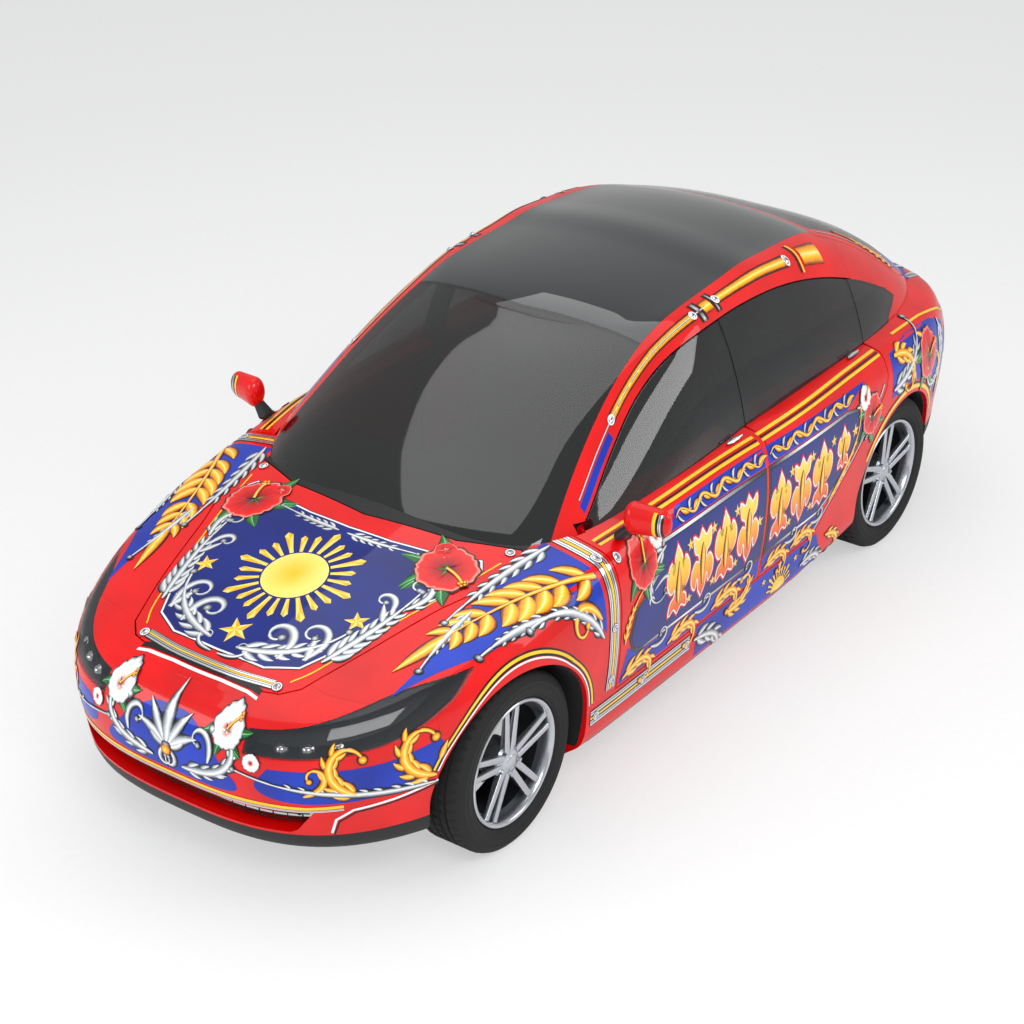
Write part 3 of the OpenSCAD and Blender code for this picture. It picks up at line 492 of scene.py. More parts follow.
def valance(y0, y1, z1, axle):
    return minus(both(hull_skin, slab((-REACH, REACH), (y0, y1), (0, z1))), arch(axle))


def roof_rail():
    return minus(
        both(cabin_skin, slab((300, REACH), (NOSE, GATE_FRONT + 50 - JOINT), (940, TOP))),
        plan_prism(WINDSCREEN, SEAT), plan_prism(ROOF_GLASS, SEAT), gate_zone(SEAM / 2),
        side_prism(SIDE_GLASS, SEAM / 2, 300), slab((0, REACH), (DOOR_FRONT + 20, TAIL), (0, BELT + 30))
    )


def cowl():
    strip = slab((JOINT - COWL_HALF, COWL_HALF - JOINT), (BONNET_REAR - 170, COWL_REAR), (900, TOP))
    return minus(both(hull_skin, strip), plan_prism(BONNET, SEAM / 2), cabin_fit)


def door(outline):
    inner = HALF - 112 - WALL - 40
    third = minus(hull_0, hull(WALL / 3, LID))
    rear = max(p[0] for p in outline if p[1] > BELT) - SEAM / 2
    chamfer = prism(
        [(HALF - 55, rear), (HALF - 260, rear - 24), (HALF - 260, rear + 40), (HALF - 55, rear + 40)],
        lambda p: (p[0], p[1], BELT - 90), (0, 0, TOP)
    )
    foot = side_prism([
        (PILLAR_AT - 50, BELT - 110), (PILLAR_AT + 50, BELT - 110), (PILLAR_AT + 45, TOP),
        (PILLAR_AT - 45, TOP)
    ], 24)
    return minus(
        plus(both(third, side_prism(outline, -SEAM / 2, inner)),
             both(hull_skin, side_prism(outline, -SEAM / 2 - STEP, inner))),
        minus(cabin(-SEAT, BELT - 44), cabin(GLASS + SEAT, 900)), both(cabin(GLASS + 2, 880), foot),
        both(cabin(-SEAM, 880), slab((0, REACH), (NOSE, DOOR_FRONT + 50), (900, TOP))),
        slab((0, REACH), (NOSE, TAIL), (BELT + 42, TOP)), arch(REAR_AXLE, 422), chamfer
    )


def side_window(start, end):
    pane = [
        (start, BELT - 44), (end, BELT - 44), (end + SPLIT_LEAN * 0.6, TOP), (start + SPLIT_LEAN * 0.6, TOP)
    ]
    return both(glass_layer, side_prism(SIDE_GLASS, -SEAM / 2, 300), side_prism(pane, -SEAM / 2, 300))


def quarter_window():
    ahead = [(0, BELT - 60), (DOOR_REAR, BELT - 60), (DOOR_REAR + SPLIT_LEAN * 0.6, TOP), (0, TOP)]
    behind_door = slab((0, REACH), (DOOR_REAR + SEAM, TAIL), (BELT - 44, TOP))
    pane = both(glass_layer, side_prism(SIDE_GLASS, 0, 300), behind_door)
    return minus(pane, side_prism(ahead, SEAM / 2, 300))


def lid(shape, zone_outer, zone_inner):
    """A lid cut to its outline, with its inner part stepped in."""
    under = plus(hull(LID_SKIN), cabin(LID_SKIN, 880))
    return minus(both(shape, zone_outer), minus(under, zone_inner))


def bonnet():
    panel = lid(lid_layer, plan_prism(BONNET, -SEAM / 2), plan_prism(BONNET, -SEAM / 2 - LID_STEP))
    return minus(panel, cabin(-SEAM, 880))


def tailgate():
    lower = minus(hull_0, hull(60, LID), cabin_in, slab((-REACH, REACH), (NOSE, TAIL - 480), (0, TOP)))
    shape = plus(minus(cabin_skin, hull(12)), lower)
    return minus(
        lid(shape, gate_zone(-SEAM / 2), gate_zone(-SEAM / 2 - LID_STEP)), plan_prism(REAR_GLASS, 0, 1000)
    )


def on_side(maker, name, body, node, right_name=None, right_body=None, right_node=None):
    """Left piece and its mirror image, each on its body and standing for its CAD node."""
    left = shade(maker, name)
    right = mirrored(left, right_name)
    smoothed(right, PANEL_EDGE)
    for piece, its_body, its_node in ((left, body, node), (right, right_body or body, right_node or node)):
        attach(piece, its_body)
        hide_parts(its_node)
    return left, right


def single(maker, name, body):
    piece = shade(maker, name)
    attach(piece, body)
    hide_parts(name.replace("_panel", ""))
    return piece


SHELL = "body_shell"
fenders = on_side(fender(), "fender_left", SHELL, "front_fenders", "fender_right")
quarters = on_side(side_panel(), "side_panel_left", SHELL, "side_panels", "side_panel_right")
rails = on_side(roof_rail(), "roof_rail_left", SHELL, "roof_rails", "roof_rail_right")
front_doors = on_side(
    door(FRONT_DOOR), "front_door_skin_left", "front_left_door", "front_left_door",
    "front_door_skin_right", "front_right_door", "front_right_door"
)
rear_doors = on_side(
    door(REAR_DOOR), "rear_door_skin_left", "rear_left_door", "rear_left_door",
    "rear_door_skin_right", "rear_right_door", "rear_right_door"
)
front_panes = on_side(
    side_window(DOOR_FRONT + 20, PILLAR_AT), "front_pane_left", "front_left_door", "front_left_window",
    "front_pane_right", "front_right_door", "front_right_window"
)
rear_panes = on_side(
    side_window(PILLAR_AT, DOOR_REAR), "rear_pane_left", "rear_left_door", "rear_left_window",
    "rear_pane_right", "rear_right_door", "rear_right_window"
)
quarter_panes = on_side(quarter_window(), "quarter_pane_left", SHELL, "quarter_windows", "quarter_pane_right")
front_bumper_skin = single(front_bumper(), "front_bumper_panel", SHELL)
rear_bumper_skin = single(rear_bumper(), "rear_bumper_panel", SHELL)
cowl_skin = single(cowl(), "cowl_panel", SHELL)
bonnet_skin = single(bonnet(), "bonnet_panel", "bonnet")
tailgate_skin = single(tailgate(), "tailgate_panel", "tailgate")
windscreen_pane = single(
    both(glass_layer, plan_prism(WINDSCREEN), slab((-REACH, REACH), (NOSE, 0), (985, TOP))),
    "windscreen_panel", SHELL
)
roof_pane = single(both(glass_layer, plan_prism(ROOF_GLASS, -SEAT)), "roof_glass_panel", SHELL)
rear_pane = single(both(glass_layer, plan_prism(REAR_GLASS, -SEAT, 1000)), "tailgate_glass_panel", "tailgate")
front_valance = shade(valance(NOSE - 50, FRONT_AXLE - 200, 318 - JOINT / 2, FRONT_AXLE), "front_valance")
rear_valance = shade(valance(REAR_AXLE + 250, TAIL + 50, 440 - JOINT / 2, REAR_AXLE), "rear_valance")
for piece in (front_valance, rear_valance):
    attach(piece, SHELL)
    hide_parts("valances")

# ---------------------------------------------------------------- finishes
def srgb(text):
    """Linear colour of an sRGB hex code."""
    parts = [int(text[i : i + 2], 16) / 255 for i in (1, 3, 5)]
    return tuple(c / 12.92 if c <= 0.04045 else ((c + 0.055) / 1.055) ** 2.4 for c in parts) + (1.0,)


def add(tree, kind, inputs=(), **settings):
    """Node of a kind with its settings, and its inputs as values or as sockets to link from."""
    made = tree.nodes.new(kind)
    for key, value in settings.items():
        setattr(made, key, value)
    for key, value in dict(inputs).items():
        if isinstance(value, bpy.types.NodeSocket):
            tree.links.new(value, made.inputs[key])
        else:
            made.inputs[key].default_value = value
    return made


def ramp(tree, value, stops):
    """Colour ramp over a value, from (position, hex) stops."""
    made = add(tree, "ShaderNodeValToRGB", {"Fac": value})
    band = made.color_ramp
    while len(band.elements) < len(stops):
        band.elements.new(0.5)
    for element, (position, code) in zip(band.elements, stops):
        element.position, element.color = position, srgb(code)
    return made.outputs["Color"]


def finish(name, **constants):
    """New material and its tree, with the shader's plain values set."""
    material = bpy.data.materials.new(name)
    material.use_nodes = True
    tree = material.node_tree
    shader = tree.nodes["Principled BSDF"]
    for key, value in constants.items():
        shader.inputs[key.replace("_", " ")].default_value = value
    return material, tree, shader


def grain(tree, shader, size, depth, detail=3.0):
    """Fine bumps of a size and depth in millimetres."""
    place = add(tree, "ShaderNodeTexCoord").outputs["Object"]
    noise = add(tree, "ShaderNodeTexNoise", {"Vector": place, "Scale": 1 / (size * MM), "Detail": detail})
    bump = add(
        tree, "ShaderNodeBump", {"Height": noise.outputs["Fac"], "Distance": depth * MM, "Strength": 1.0}
    )
    tree.links.new(bump.outputs["Normal"], shader.inputs["Normal"])
    return noise.outputs["Fac"]


def lacquer(name, deep, light):
    """Sprayed colour under clear coat, with a slow waviness and a shade that drifts a little."""
    material, tree, shader = finish(
        name, Roughness=0.45, Specular_IOR_Level=0.2, Coat_Weight=0.55, Coat_Roughness=0.03
    )
    grain(tree, shader, 6, 0.02)
    place = add(tree, "ShaderNodeTexCoord").outputs["Object"]
    drift = add(tree, "ShaderNodeTexNoise", {"Vector": place, "Scale": 1 / (260 * MM), "Detail": 2.0})
    tree.links.new(ramp(tree, drift.outputs["Fac"], [(0.3, deep), (0.7, light)]), shader.inputs["Base Color"])
    return material


def brushed(name, stops, axis="X", metallic=0.0, roughness=0.3):
    """Sign painter's enamel under clear coat, shaded across a stroke and with faint brush marks."""
    material, tree, shader = finish(
        name, Metallic=metallic, Roughness=roughness, Specular_IOR_Level=0.3, Coat_Weight=0.4,
        Coat_Roughness=0.05
    )
    spot = add(tree, "ShaderNodeUVMap", uv_map="UV").outputs["UV"]
    part = add(tree, "ShaderNodeSeparateXYZ", {"Vector": spot})
    place = add(tree, "ShaderNodeTexCoord").outputs["Object"]
    marks = add(tree, "ShaderNodeTexNoise", {"Vector": place, "Scale": 1 / (22 * MM), "Detail": 3.0})
    shift = add(tree, "ShaderNodeMath", {0: marks.outputs["Fac"], 1: 0.5}, operation="SUBTRACT")
    moved = add(
        tree, "ShaderNodeMath", {0: shift.outputs[0], 1: 0.12, 2: part.outputs[axis]},
        operation="MULTIPLY_ADD"
    )
    tree.links.new(ramp(tree, moved.outputs[0], stops), shader.inputs["Base Color"])
    grain(tree, shader, 3, 0.03)
    return material


# gives the eye: gloss red body paint, the ground colour of the whole livery
RED = lacquer("red_lacquer", "#D20002", "#EE0203")
# deep navy behind the cartouches and the sun
NAVY = lacquer("navy_lacquer", "#001466", "#001F80")
# brighter blue behind the leafwork
BLUE = lacquer("blue_lacquer", "#00289C", "#0038C0")
# near-black outline paint
INK = lacquer("black_line_enamel", "#08090C", "#101216")
# bright white lines that lift the ornament off the ground colour
WHITE = lacquer("white_line_enamel", "#EDEFF2", "#FFFFFF")
# warm yellow coach lines
YELLOW = lacquer("yellow_line_enamel", "#FFC20E", "#FFD83A")
# golden leafwork: dark rim, orange flanks and a pale highlight along each stroke
GOLD = brushed("gold_leafwork", [
    (0.0, "#4A1C00"), (0.09, "#8A3C02"), (0.17, "#F08A08"), (0.38, "#FFC814"), (0.5, "#FFF19A"),
    (0.6, "#FFD21A"), (0.84, "#F28A0A"), (0.92, "#A04A04"), (1.0, "#4A1C00")])
# silver scrolls: dark rim, pale grey flanks and a white highlight
SILVER = brushed("silver_scrollwork", [
    (0.0, "#14181E"), (0.1, "#3E454E"), (0.2, "#A9B0B9"), (0.4, "#FFFFFF"), (0.54, "#DCE0E5"),
    (0.76, "#8E959E"), (0.9, "#444B54"), (1.0, "#14181E")], metallic=0.25)
# leaves with a pale midrib
LEAF = brushed("green_leaf_enamel", [
    (0.0, "#03200C"), (0.12, "#0A5A22"), (0.4, "#1F9440"), (0.48, "#8FD890"), (0.53, "#0C5A22"),
    (0.85, "#0B6A28"), (1.0, "#03200C")])
# red petals, dark in the throat and pale at the rim
PETAL = brushed("red_petal_enamel", [
    (0.0, "#4A0006"), (0.25, "#B0040C"), (0.6, "#DC0206"), (0.86, "#F01210"), (0.95, "#FF9A88"),
    (1.0, "#7A0A0A")], axis="Y")
# white petals with a red throat
PALE_PETAL = brushed("white_petal_enamel", [
    (0.0, "#C01828"), (0.2, "#F4A8A0"), (0.4, "#FFFFFF"), (0.88, "#F2F4F6"), (1.0, "#8A9096")], axis="Y")
# faceted gold of the stars and the suns, running dark to pale, so that facets are painted lit or in shade
FACET = brushed("faceted_gold", [(0.0, "#6A2C00"), (0.2, "#E07806"), (0.5, "#FFC414"), (1.0, "#FFEE7A")])
# chrome mouldings: metal with painted reflections across each stroke, bright bands and a dark horizon line
CHROME = brushed("chrome_moulding", [
    (0.0, "#2A2E34"), (0.12, "#C8CDD3"), (0.35, "#FFFFFF"), (0.5, "#8C929A"), (0.58, "#3A4048"),
    (0.7, "#B8BEC6"), (0.88, "#F4F6F8"), (1.0, "#30353C")], metallic=0.8, roughness=0.14)
# gradient of the large cartouche ornaments, yellow above and orange below
SUNSET = brushed(
    "sunset_enamel", [(0.0, "#E83C06"), (0.3, "#F88A08"), (0.6, "#FFC414"), (1.0, "#FFE860")], axis="Y"
)
PAINTS = [RED, NAVY, BLUE, INK, WHITE, YELLOW, GOLD, SILVER, LEAF, PETAL, PALE_PETAL, FACET, CHROME, SUNSET]


# ---------------------------------------------------------------- canvases
# A canvas turns two flat lengths and a height, in millimetres, into a place over the skin and the skin's
# outward direction there.
def skin_tree(*shapes):
    bm = bmesh.new()
    for shape in shapes:
        bm.from_mesh(shape.data)
    found = BVHTree.FromBMesh(bm)
    bm.free()
    return found


hull_tree, cabin_tree, whole_tree = skin_tree(hull_0), skin_tree(cabin_0), skin_tree(hull_0, cabin_0)
FLANK_X, FLANK_DROP, FLANK_TURN = 600, 230, 290


def land(tree, start, target, height):
    """Place at a height over the skin, on the line from start to target."""
    start, target = Vector(start) * MM, Vector(target) * MM
    spot, normal, _, _ = tree.ray_cast(start, target - start)
    if spot is None:
        return target, (start - target).normalized()
    if normal.dot(start - target) < 0:
        normal = -normal
    return spot + normal * height * MM, normal


def flank_axis(y):
    shoulder = HULL[5]
    knots = [shoulder[1], shoulder[2], (shoulder[2] + shoulder[3]) / 2, shoulder[3], shoulder[4]]
    return curve(knots, shoulder[7:12], y) - FLANK_DROP


def flank(y, s, height):
    """Left side: lengthwise place, and height that goes on over the shoulder."""
    base = flank_axis(y)
    if s <= base:
        return land(hull_tree, (REACH, y, s), (0, y, s), height)
    turn = (s - base) / FLANK_TURN
    away = Vector((math.cos(turn), 0, math.sin(turn))) * 700
    return land(hull_tree, Vector((FLANK_X, y, base)) + away, (FLANK_X, y, base), height)


def bonnet_top(x, y, height):
    """Seen from above, over the hull alone."""
    return land(hull_tree, (x, y, TOP), (x, y, 0), height)


def above(x, y, height):
    """Seen from above."""
    return land(whole_tree, (x, y, TOP), (x, y, 0), height)


def plan_path(level, nose_end):
    """Plan points of a level from its end on the centre line round to the side, with lengths along it."""
    stretch = 0 if nose_end else 2
    shares = [even(i / 160) for i in range(161)]
    order = shares if nose_end else shares[::-1]
    points = [ring_point(level, (stretch, s), 0, 0) for s in order]
    lengths = [0.0]
    for a, b in zip(points, points[1:]):
        lengths.append(lengths[-1] + math.hypot(b.x - a.x, b.y - a.y))
    return points, lengths


def wrap(nose_end):
    """Canvas round an end of the body: length from the centre line towards the left, and height."""
    points, lengths = plan_path(HULL[3], nose_end)

    def canvas(u, z, height):
        side, u = (-1, -u) if u < 0 else (1, u)
        i = 1
        while i < len(lengths) - 1 and lengths[i] < u:
            i += 1
        a, b = points[i - 1], points[i]
        share = (u - lengths[i - 1]) / (lengths[i] - lengths[i - 1])
        x, y = a.x + (b.x - a.x) * share, a.y + (b.y - a.y) * share
        across = Vector((b.y - a.y, a.x - b.x)).normalized() * (1 if nose_end else -1)
        if across.x < 0 and u > 1:
            across = -across
        if (across.y > 0) == nose_end:
            across.y = -across.y
        out, deep = (x + across.x * 300, y + across.y * 300), (x - across.x * 500, y - across.y * 500)
        return land(hull_tree, (side * out[0], out[1], z), (side * deep[0], deep[1], z), height)

    return canvas


nose_wrap, tail_wrap = wrap(True), wrap(False)


def along(points, y):
    """Value at y of a broken line given as (y, value) points."""
    for (y0, v0), (y1, v1) in zip(points, points[1:]):
        if y <= y1:
            return v0 + (v1 - v0) * (y - y0) / (y1 - y0)
    return points[-1][1]


RAIL_INNER = [(y, x) for x, y in WINDSCREEN[1:-1]] + [(y, x) for x, y in ROOF_GLASS[2:4]]
RAIL_OUTER = SIDE_GLASS[1:-3]


def rail(y, t, height):
    """Roof rail: lengthwise place, and 0 at the glass roof's edge to 1 at the side glass's edge."""
    inner, _ = land(cabin_tree, (along(RAIL_INNER, y), y, TOP), (along(RAIL_INNER, y), y, 0), 0)
    z = along(RAIL_OUTER, y)
    outer, _ = land(cabin_tree, (REACH, y, z), (0, y, z), 0)
    spot = inner.lerp(outer, t) / MM
    edge = outer - inner
    out = Vector((-edge.z, 0, edge.x)).normalized() * 250
    return land(cabin_tree, spot + out, spot - out, height)


# ---------------------------------------------------------------- ornament kit
def curl(start, heading, length, turn, power=2.2, steps=44):
    """Path that starts in a direction and winds up by turn degrees."""
    path = [tuple(start)]
    for i in range(steps):
        share = (i + 0.5) / steps
        a = math.radians(heading + turn * share**power)
        x, y = path[-1]
        path.append((x + math.cos(a) * length / steps, y + math.sin(a) * length / steps))
    return path


def swap(points, way):
    """The points, or with way -1 their mirror image."""
    return [(way * x, y) for x, y in points]


def fine(path, step=22):
    """The path with its long segments split."""
    split = [path[0]]
    for a, b in zip(path, path[1:]):
        count = max(1, math.ceil(math.dist(a, b) / step))
        split += [
            (a[0] + (b[0] - a[0]) * k / count, a[1] + (b[1] - a[1]) * k / count) for k in range(1, count + 1)
        ]
    return split


def polar(centre, radius, degrees):
    """Point at a distance and a direction from a centre."""
    a = math.radians(degrees)
    return centre[0] + radius * math.cos(a), centre[1] + radius * math.sin(a)


def reach_of(path):
    """Lengths from the start of a path to its points."""
    lengths = [0.0]
    for a, b in zip(path, path[1:]):
        lengths.append(lengths[-1] + math.dist(a, b))
    return lengths


def swell(t):
    """Width of a scroll along its length."""
    if t < 0.8:
        return 0.25 + 0.75 * math.sin(math.pi * min(1, t * 1.25) ** 0.8) ** 0.8
    return 0.42 - 0.6 * (t - 0.8)


def leaf_swell(t):
    return max(0.02, math.sin(math.pi * t**0.75) ** 0.85)


def both_ends(t):
    """Width of a scroll wound up at both ends."""
    return 0.3 + 0.7 * math.sin(math.pi * t) ** 0.9


def steady(t):
    return 1.0


class Ornament:
    """Painted relief of one panel: shapes drawn on its canvas and laid on its skin."""

    def __init__(self, canvas):
        self.canvas = canvas
        self.bm = bmesh.new()
        self.uv = self.bm.loops.layers.uv.new("UV")

    def lay(self, verts, spots, shares, material):
        """Puts vertices on the skin, and gives their faces the material, the shares and an outward side."""
        outward = {}
        for v in verts:
            v.co, outward[v] = self.canvas(*spots[v])
            v.co = v.co / MM
        for face in {f for v in verts for f in v.link_faces}:
            face.normal_update()
            if face.normal.dot(outward[face.verts[0]]) < 0:
                face.normal_flip()
            face.material_index = PAINTS.index(material)
            for loop in face.loops:
                loop[self.uv].uv = shares[loop.vert]

    def surface(self, nx, ny, where, material, tint=None):
        """Grid of nx by ny cells; where gives its place, and tint its shade, from shares of 0 to 1."""
        made = bmesh.ops.create_grid(self.bm, x_segments=nx, y_segments=ny, size=1)["verts"]
        at = {v: ((v.co.x + 1) / 2, (v.co.y + 1) / 2) for v in made}
        spots = {v: where(*at[v]) for v in made}
        shares = {v: (tint or (lambda a, b: (a, b)))(*at[v]) for v in made}
        self.lay(made, spots, shares, material)

    def ribbon(self, path, width, material, height=1.6, dome=1.4, profile=swell, columns=6):
        """Stroke along a path."""
        path = fine(path)
        lengths = reach_of(path)
        count = len(path) - 1
        sides = []
        for i in range(count + 1):
            a, b = path[max(0, i - 1)], path[min(count, i + 1)]
            d = math.dist(a, b) or 1
            sides.append(((a[1] - b[1]) / d, (b[0] - a[0]) / d))

        def where(a, b):
            i = round(b * count)
            s = 2 * a - 1
            half_width = width / 2 * profile(lengths[i] / lengths[-1])
            x = path[i][0] + sides[i][0] * s * half_width
            y = path[i][1] + sides[i][1] * s * half_width
            return x, y, height + dome * (1 - s * s)

        self.surface(columns, count, where, material)

    def line(self, path, width, material, height=1.2):
        """Stroke of even width."""
        self.ribbon(path, width, material, height, 0.3, steady, 3)

    def disc(self, centre, radius, material, height=1.8, dome=2.0, cells=20):
        """Round button, crowned by dome; its shares run from a stroke's middle at the centre to its rim at the
        edge, so a button in the gold or silver leafwork paint takes a painted highlight in the middle and a
        dark rim.
        """
        self.surface(
            cells, 4,
            lambda a, b: (*polar(centre, radius * b, 360 * a), height + dome * (1 - b * b)),
            material, lambda a, b: (0.5 + 0.5 * b, 0.5 + 0.5 * b),
        )

    def scroll(self, path, width, material, ball=True, profile=swell, height=1.8):
        """Scroll with a dark seat under it and a ball at its wound-up end."""
        self.ribbon(path, width + 9, INK, height - 0.8, 0, profile)
        self.ribbon(path, width, material, height, 2.2, profile)
        if ball:
            self.disc(path[-1], width * 0.42 + 4, INK, height - 0.4, 0.4, 14)
            self.disc(path[-1], width * 0.42, material, height + 1.2, 2.6, 14)

    def leaf(self, base, heading, length, width, material, bend=0, height=2.2):
        """Pointed leaf with a dark seat under it."""
        path = curl(base, heading, length, bend, 1.3, 12)
        self.ribbon(path, width + 7, INK, height - 0.9, 0, leaf_swell, 4)
        self.ribbon(path, width, material, height, 1.8, leaf_swell, 6)

    def acanthus(self, path, width, material, leaves=6, size=1.0, side=0, height=2.0):
        """Scroll that puts out leaves on one side or, with side 0, on both."""
        count = len(path) - 1
        total = reach_of(path)[-1]
        for k in range(leaves):
            share = (k + 0.6) / (leaves + 1.2)
            i = round(share * 0.82 * count)
            a, b = path[i], path[min(count, i + 2)]
            heading = math.degrees(math.atan2(b[1] - a[1], b[0] - a[0]))
            length = size * total * 0.24 * (1 - 0.45 * share)
            for way in (1, -1) if side == 0 else (side,):
                self.leaf(a, heading + way * 46, length, length * 0.42, material, -way * 44, height - 0.3)
        self.scroll(path, width, material, height=height + 0.6)

    def frond(self, base, heading, length, width, material, pairs=5, bend=0):
        """Long acanthus leaf: lobes on both sides of a rib, and one at its tip."""
        path = curl(base, heading, length, bend, 1.2, 24)
        for k in range(pairs):
            share = 0.06 + 0.74 * k / pairs
            i = round(share * 24)
            a, b = path[i], path[i + 1]
            h = math.degrees(math.atan2(b[1] - a[1], b[0] - a[0]))
            lobe = width * (0.95 - 0.35 * abs(2 * share - 0.7))
            for way in (1, -1):
                self.leaf(a, h + way * 52, lobe, lobe * 0.46, material, -way * 40, 2.0)
        tip = path[round(0.7 * 24)]
        last = path[-1]
        h = math.degrees(math.atan2(last[1] - tip[1], last[0] - tip[0]))
        self.leaf(tip, h, length * 0.36, width * 0.4, material, 0, 2.3)
        self.ribbon(path[:20], width * 0.16, material, 3.4, 1.6, lambda t: 1 - 0.7 * t)

    def flower(self, centre, radius, material=None, turn=90, leaves=True, pistil=True):
        """Hibiscus: five ruffled petals round a throat, a pistil and leaves behind it."""
        if leaves:
            for a in (turn + 150, turn - 150, turn + 205, turn + 95, turn - 95):
                self.leaf(centre, a, radius * 1.62, radius * 0.62, LEAF, 22, 2.4)
        petal = material or PETAL

        def spread(turned, scale, raised):
            def where(a, b):
                s = 2 * a - 1
                ruffle = 1 + 0.045 * math.cos(9 * s) - 0.16 * abs(s) ** 3
                r = radius * scale * (0.08 + 0.92 * b) * ruffle
                spread_angle = math.radians(44 * (0.35 + 0.65 * math.sin(math.pi * min(0.75, b) / 1.5)))
                angle = turned + s * spread_angle
                lift = raised + 2.6 * (1 - s * s) * math.sin(math.pi * b) + 0.7 * math.cos(9 * s) * b
                return centre[0] + r * math.cos(angle), centre[1] + r * math.sin(angle), lift

            return where

        for k in range(5):
            turned = math.radians(turn + 72 * k)
            self.surface(12, 8, spread(turned, 1.05, 3.0 + 0.25 * k), INK, None)
            self.surface(12, 8, spread(turned, 1.0, 4.0 + 0.3 * k), petal, lambda a, b: (a, b))
        if pistil:
            path = curl(centre, turn - 36, radius * 0.86, -30, 1.5, 14)
            self.ribbon(path, radius * 0.13, GOLD, 9.5, 2.0, steady, 4)
            for k in range(5):
                self.disc(polar(path[-1], radius * 0.1, 72 * k), radius * 0.07, GOLD, 9.5, 3, 8)

    def facets(self, ring, centre, lift, shades, height=2.4):
        """Raised facets from a ring of points to a centre; the facets take the two shades in turn, as painted
        light and shade.
        """
        middle = self.bm.verts.new((0, 0, 0))
        edge = [self.bm.verts.new((0, 0, 0)) for _ in ring]
        spots = {v: (p[0], p[1], height) for v, p in zip(edge, ring)}
        spots[middle] = (centre[0], centre[1], height + lift)
        for i in range(len(ring)):
            corners = [edge[i], edge[(i + 1) % len(ring)], middle]
            if i % 2:
                corners = [self.bm.verts.new(v.co) for v in corners]
                for new, old in zip(corners, (edge[i], edge[(i + 1) % len(ring)], middle)):
                    spots[new] = spots[old]
            self.bm.faces.new(corners)
        shares = {}
        for i, v in enumerate(spots):
            odd = v not in edge and v is not middle
            shares[v] = (shades[1], 0.5) if odd else (shades[0], 0.5)
        self.lay(list(spots), spots, shares, FACET)

    def star(self, centre, radius, turn=90):
        """Faceted five-pointed star in a dark outline."""
        def ring(scale):
            return [
                polar(centre, radius * scale * (1 if k % 2 == 0 else 0.4), turn + 36 * k) for k in range(10)
            ]

        self.patch(ring(1.16), INK, 1.3)
        self.facets(ring(1.0), centre, radius * 0.06, (0.9, 0.42))

    def sun(self, centre, radius, rays=8, cut=None, disc=0.49):
        """Round sun with groups of three rays."""
        for k in range(rays):
            for offset_angle, tip_share, spread in ((0, 1.0, 0.062), (15, 0.86, 0.05), (-15, 0.86, 0.05)):
                a = math.radians(90 + 360 / rays * k + offset_angle * 8 / rays)
                if cut and not cut(math.cos(a), math.sin(a)):
                    continue

                def corner(r, side):
                    return (
                        centre[0] + radius * (r * math.cos(a) - side * math.sin(a)),
                        centre[1] + radius * (r * math.sin(a) + side * math.cos(a)),
                    )

                shape = [
                    corner(0.5, -spread * 0.45), corner(tip_share * 0.93, -spread), corner(tip_share, 0),
                    corner(tip_share * 0.93, spread), corner(0.5, spread * 0.45)
                ]
                self.patch(offset(shape, radius * 0.016), INK, 1.3)
                self.facets(shape, corner(0.8 * tip_share, 0), radius * 0.012, (0.85, 0.45))
        if not cut:
            self.disc(centre, radius * (disc + 0.02), INK, 1.5, 0.3, 40)
            self.disc(centre, radius * disc, FACET, 2.0, radius * 0.03, 40)
        else:
            self.half_disc(centre, radius * (disc + 0.02), INK, 1.5, 0.3)
            self.half_disc(centre, radius * disc, FACET, 2.0, radius * 0.03)

    def half_disc(self, centre, radius, material, height, dome):
        """Upper half of a crowned button."""
        self.surface(
            24, 4,
            lambda a, b: (*polar(centre, radius * b, 180 * a), height + dome * (1 - b * b)),
            material, lambda a, b: (1 - 0.5 * b, 0.5),
        )

    def stud(self, centre, radius=17):
        """Domed rivet in a pale ring."""
        self.disc(centre, radius * 1.25, INK, 3.6, 0.3, 18)
        self.disc(centre, radius * 1.1, WHITE, 4.0, 0.6, 18)
        self.disc(centre, radius * 0.82, CHROME, 4.8, radius * 0.32, 18)

    def patch(self, outline, material, height=0.9, cell=22):
        """Flat painted field with a corner list for its outline."""
        verts = [self.bm.verts.new((p[0], p[1], 0)) for p in outline]
        face = self.bm.faces.new(verts)
        cut = bmesh.ops.triangulate(self.bm, faces=[face])
        geom = verts + cut["edges"] + cut["faces"] + [e for f in cut["faces"] for e in f.edges]
        geom = list(dict.fromkeys(geom))
        low = [min(p[k] for p in outline) for k in (0, 1)]
        high = [max(p[k] for p in outline) for k in (0, 1)]
        for k in (0, 1):
            count = int((high[k] - low[k]) / cell)
            for i in range(1, count + 1):
                at = low[k] + (high[k] - low[k]) * i / (count + 1)
                plane, side = Vector((0, 0, 0)), Vector((0, 0, 0))
                plane[k], side[k] = at, 1
                geom = bmesh.ops.bisect_plane(self.bm, geom=geom, plane_co=plane, plane_no=side)["geom"]
        made = [g for g in geom if isinstance(g, bmesh.types.BMVert)]
        spots = {v: (v.co.x, v.co.y, height) for v in made}
        shares = {
            v: ((v.co.x - low[0]) / (high[0] - low[0]), (v.co.y - low[1]) / (high[1] - low[1])) for v in made
        }
        self.lay(made, spots, shares, material)

    def coats(self, outline, layers, cell=22):
        """Fields laid over each other, each (how far it goes past the outline, paint, height)."""
        for grow, material, height in layers:
            self.patch(offset(outline, grow), material, height, cell)

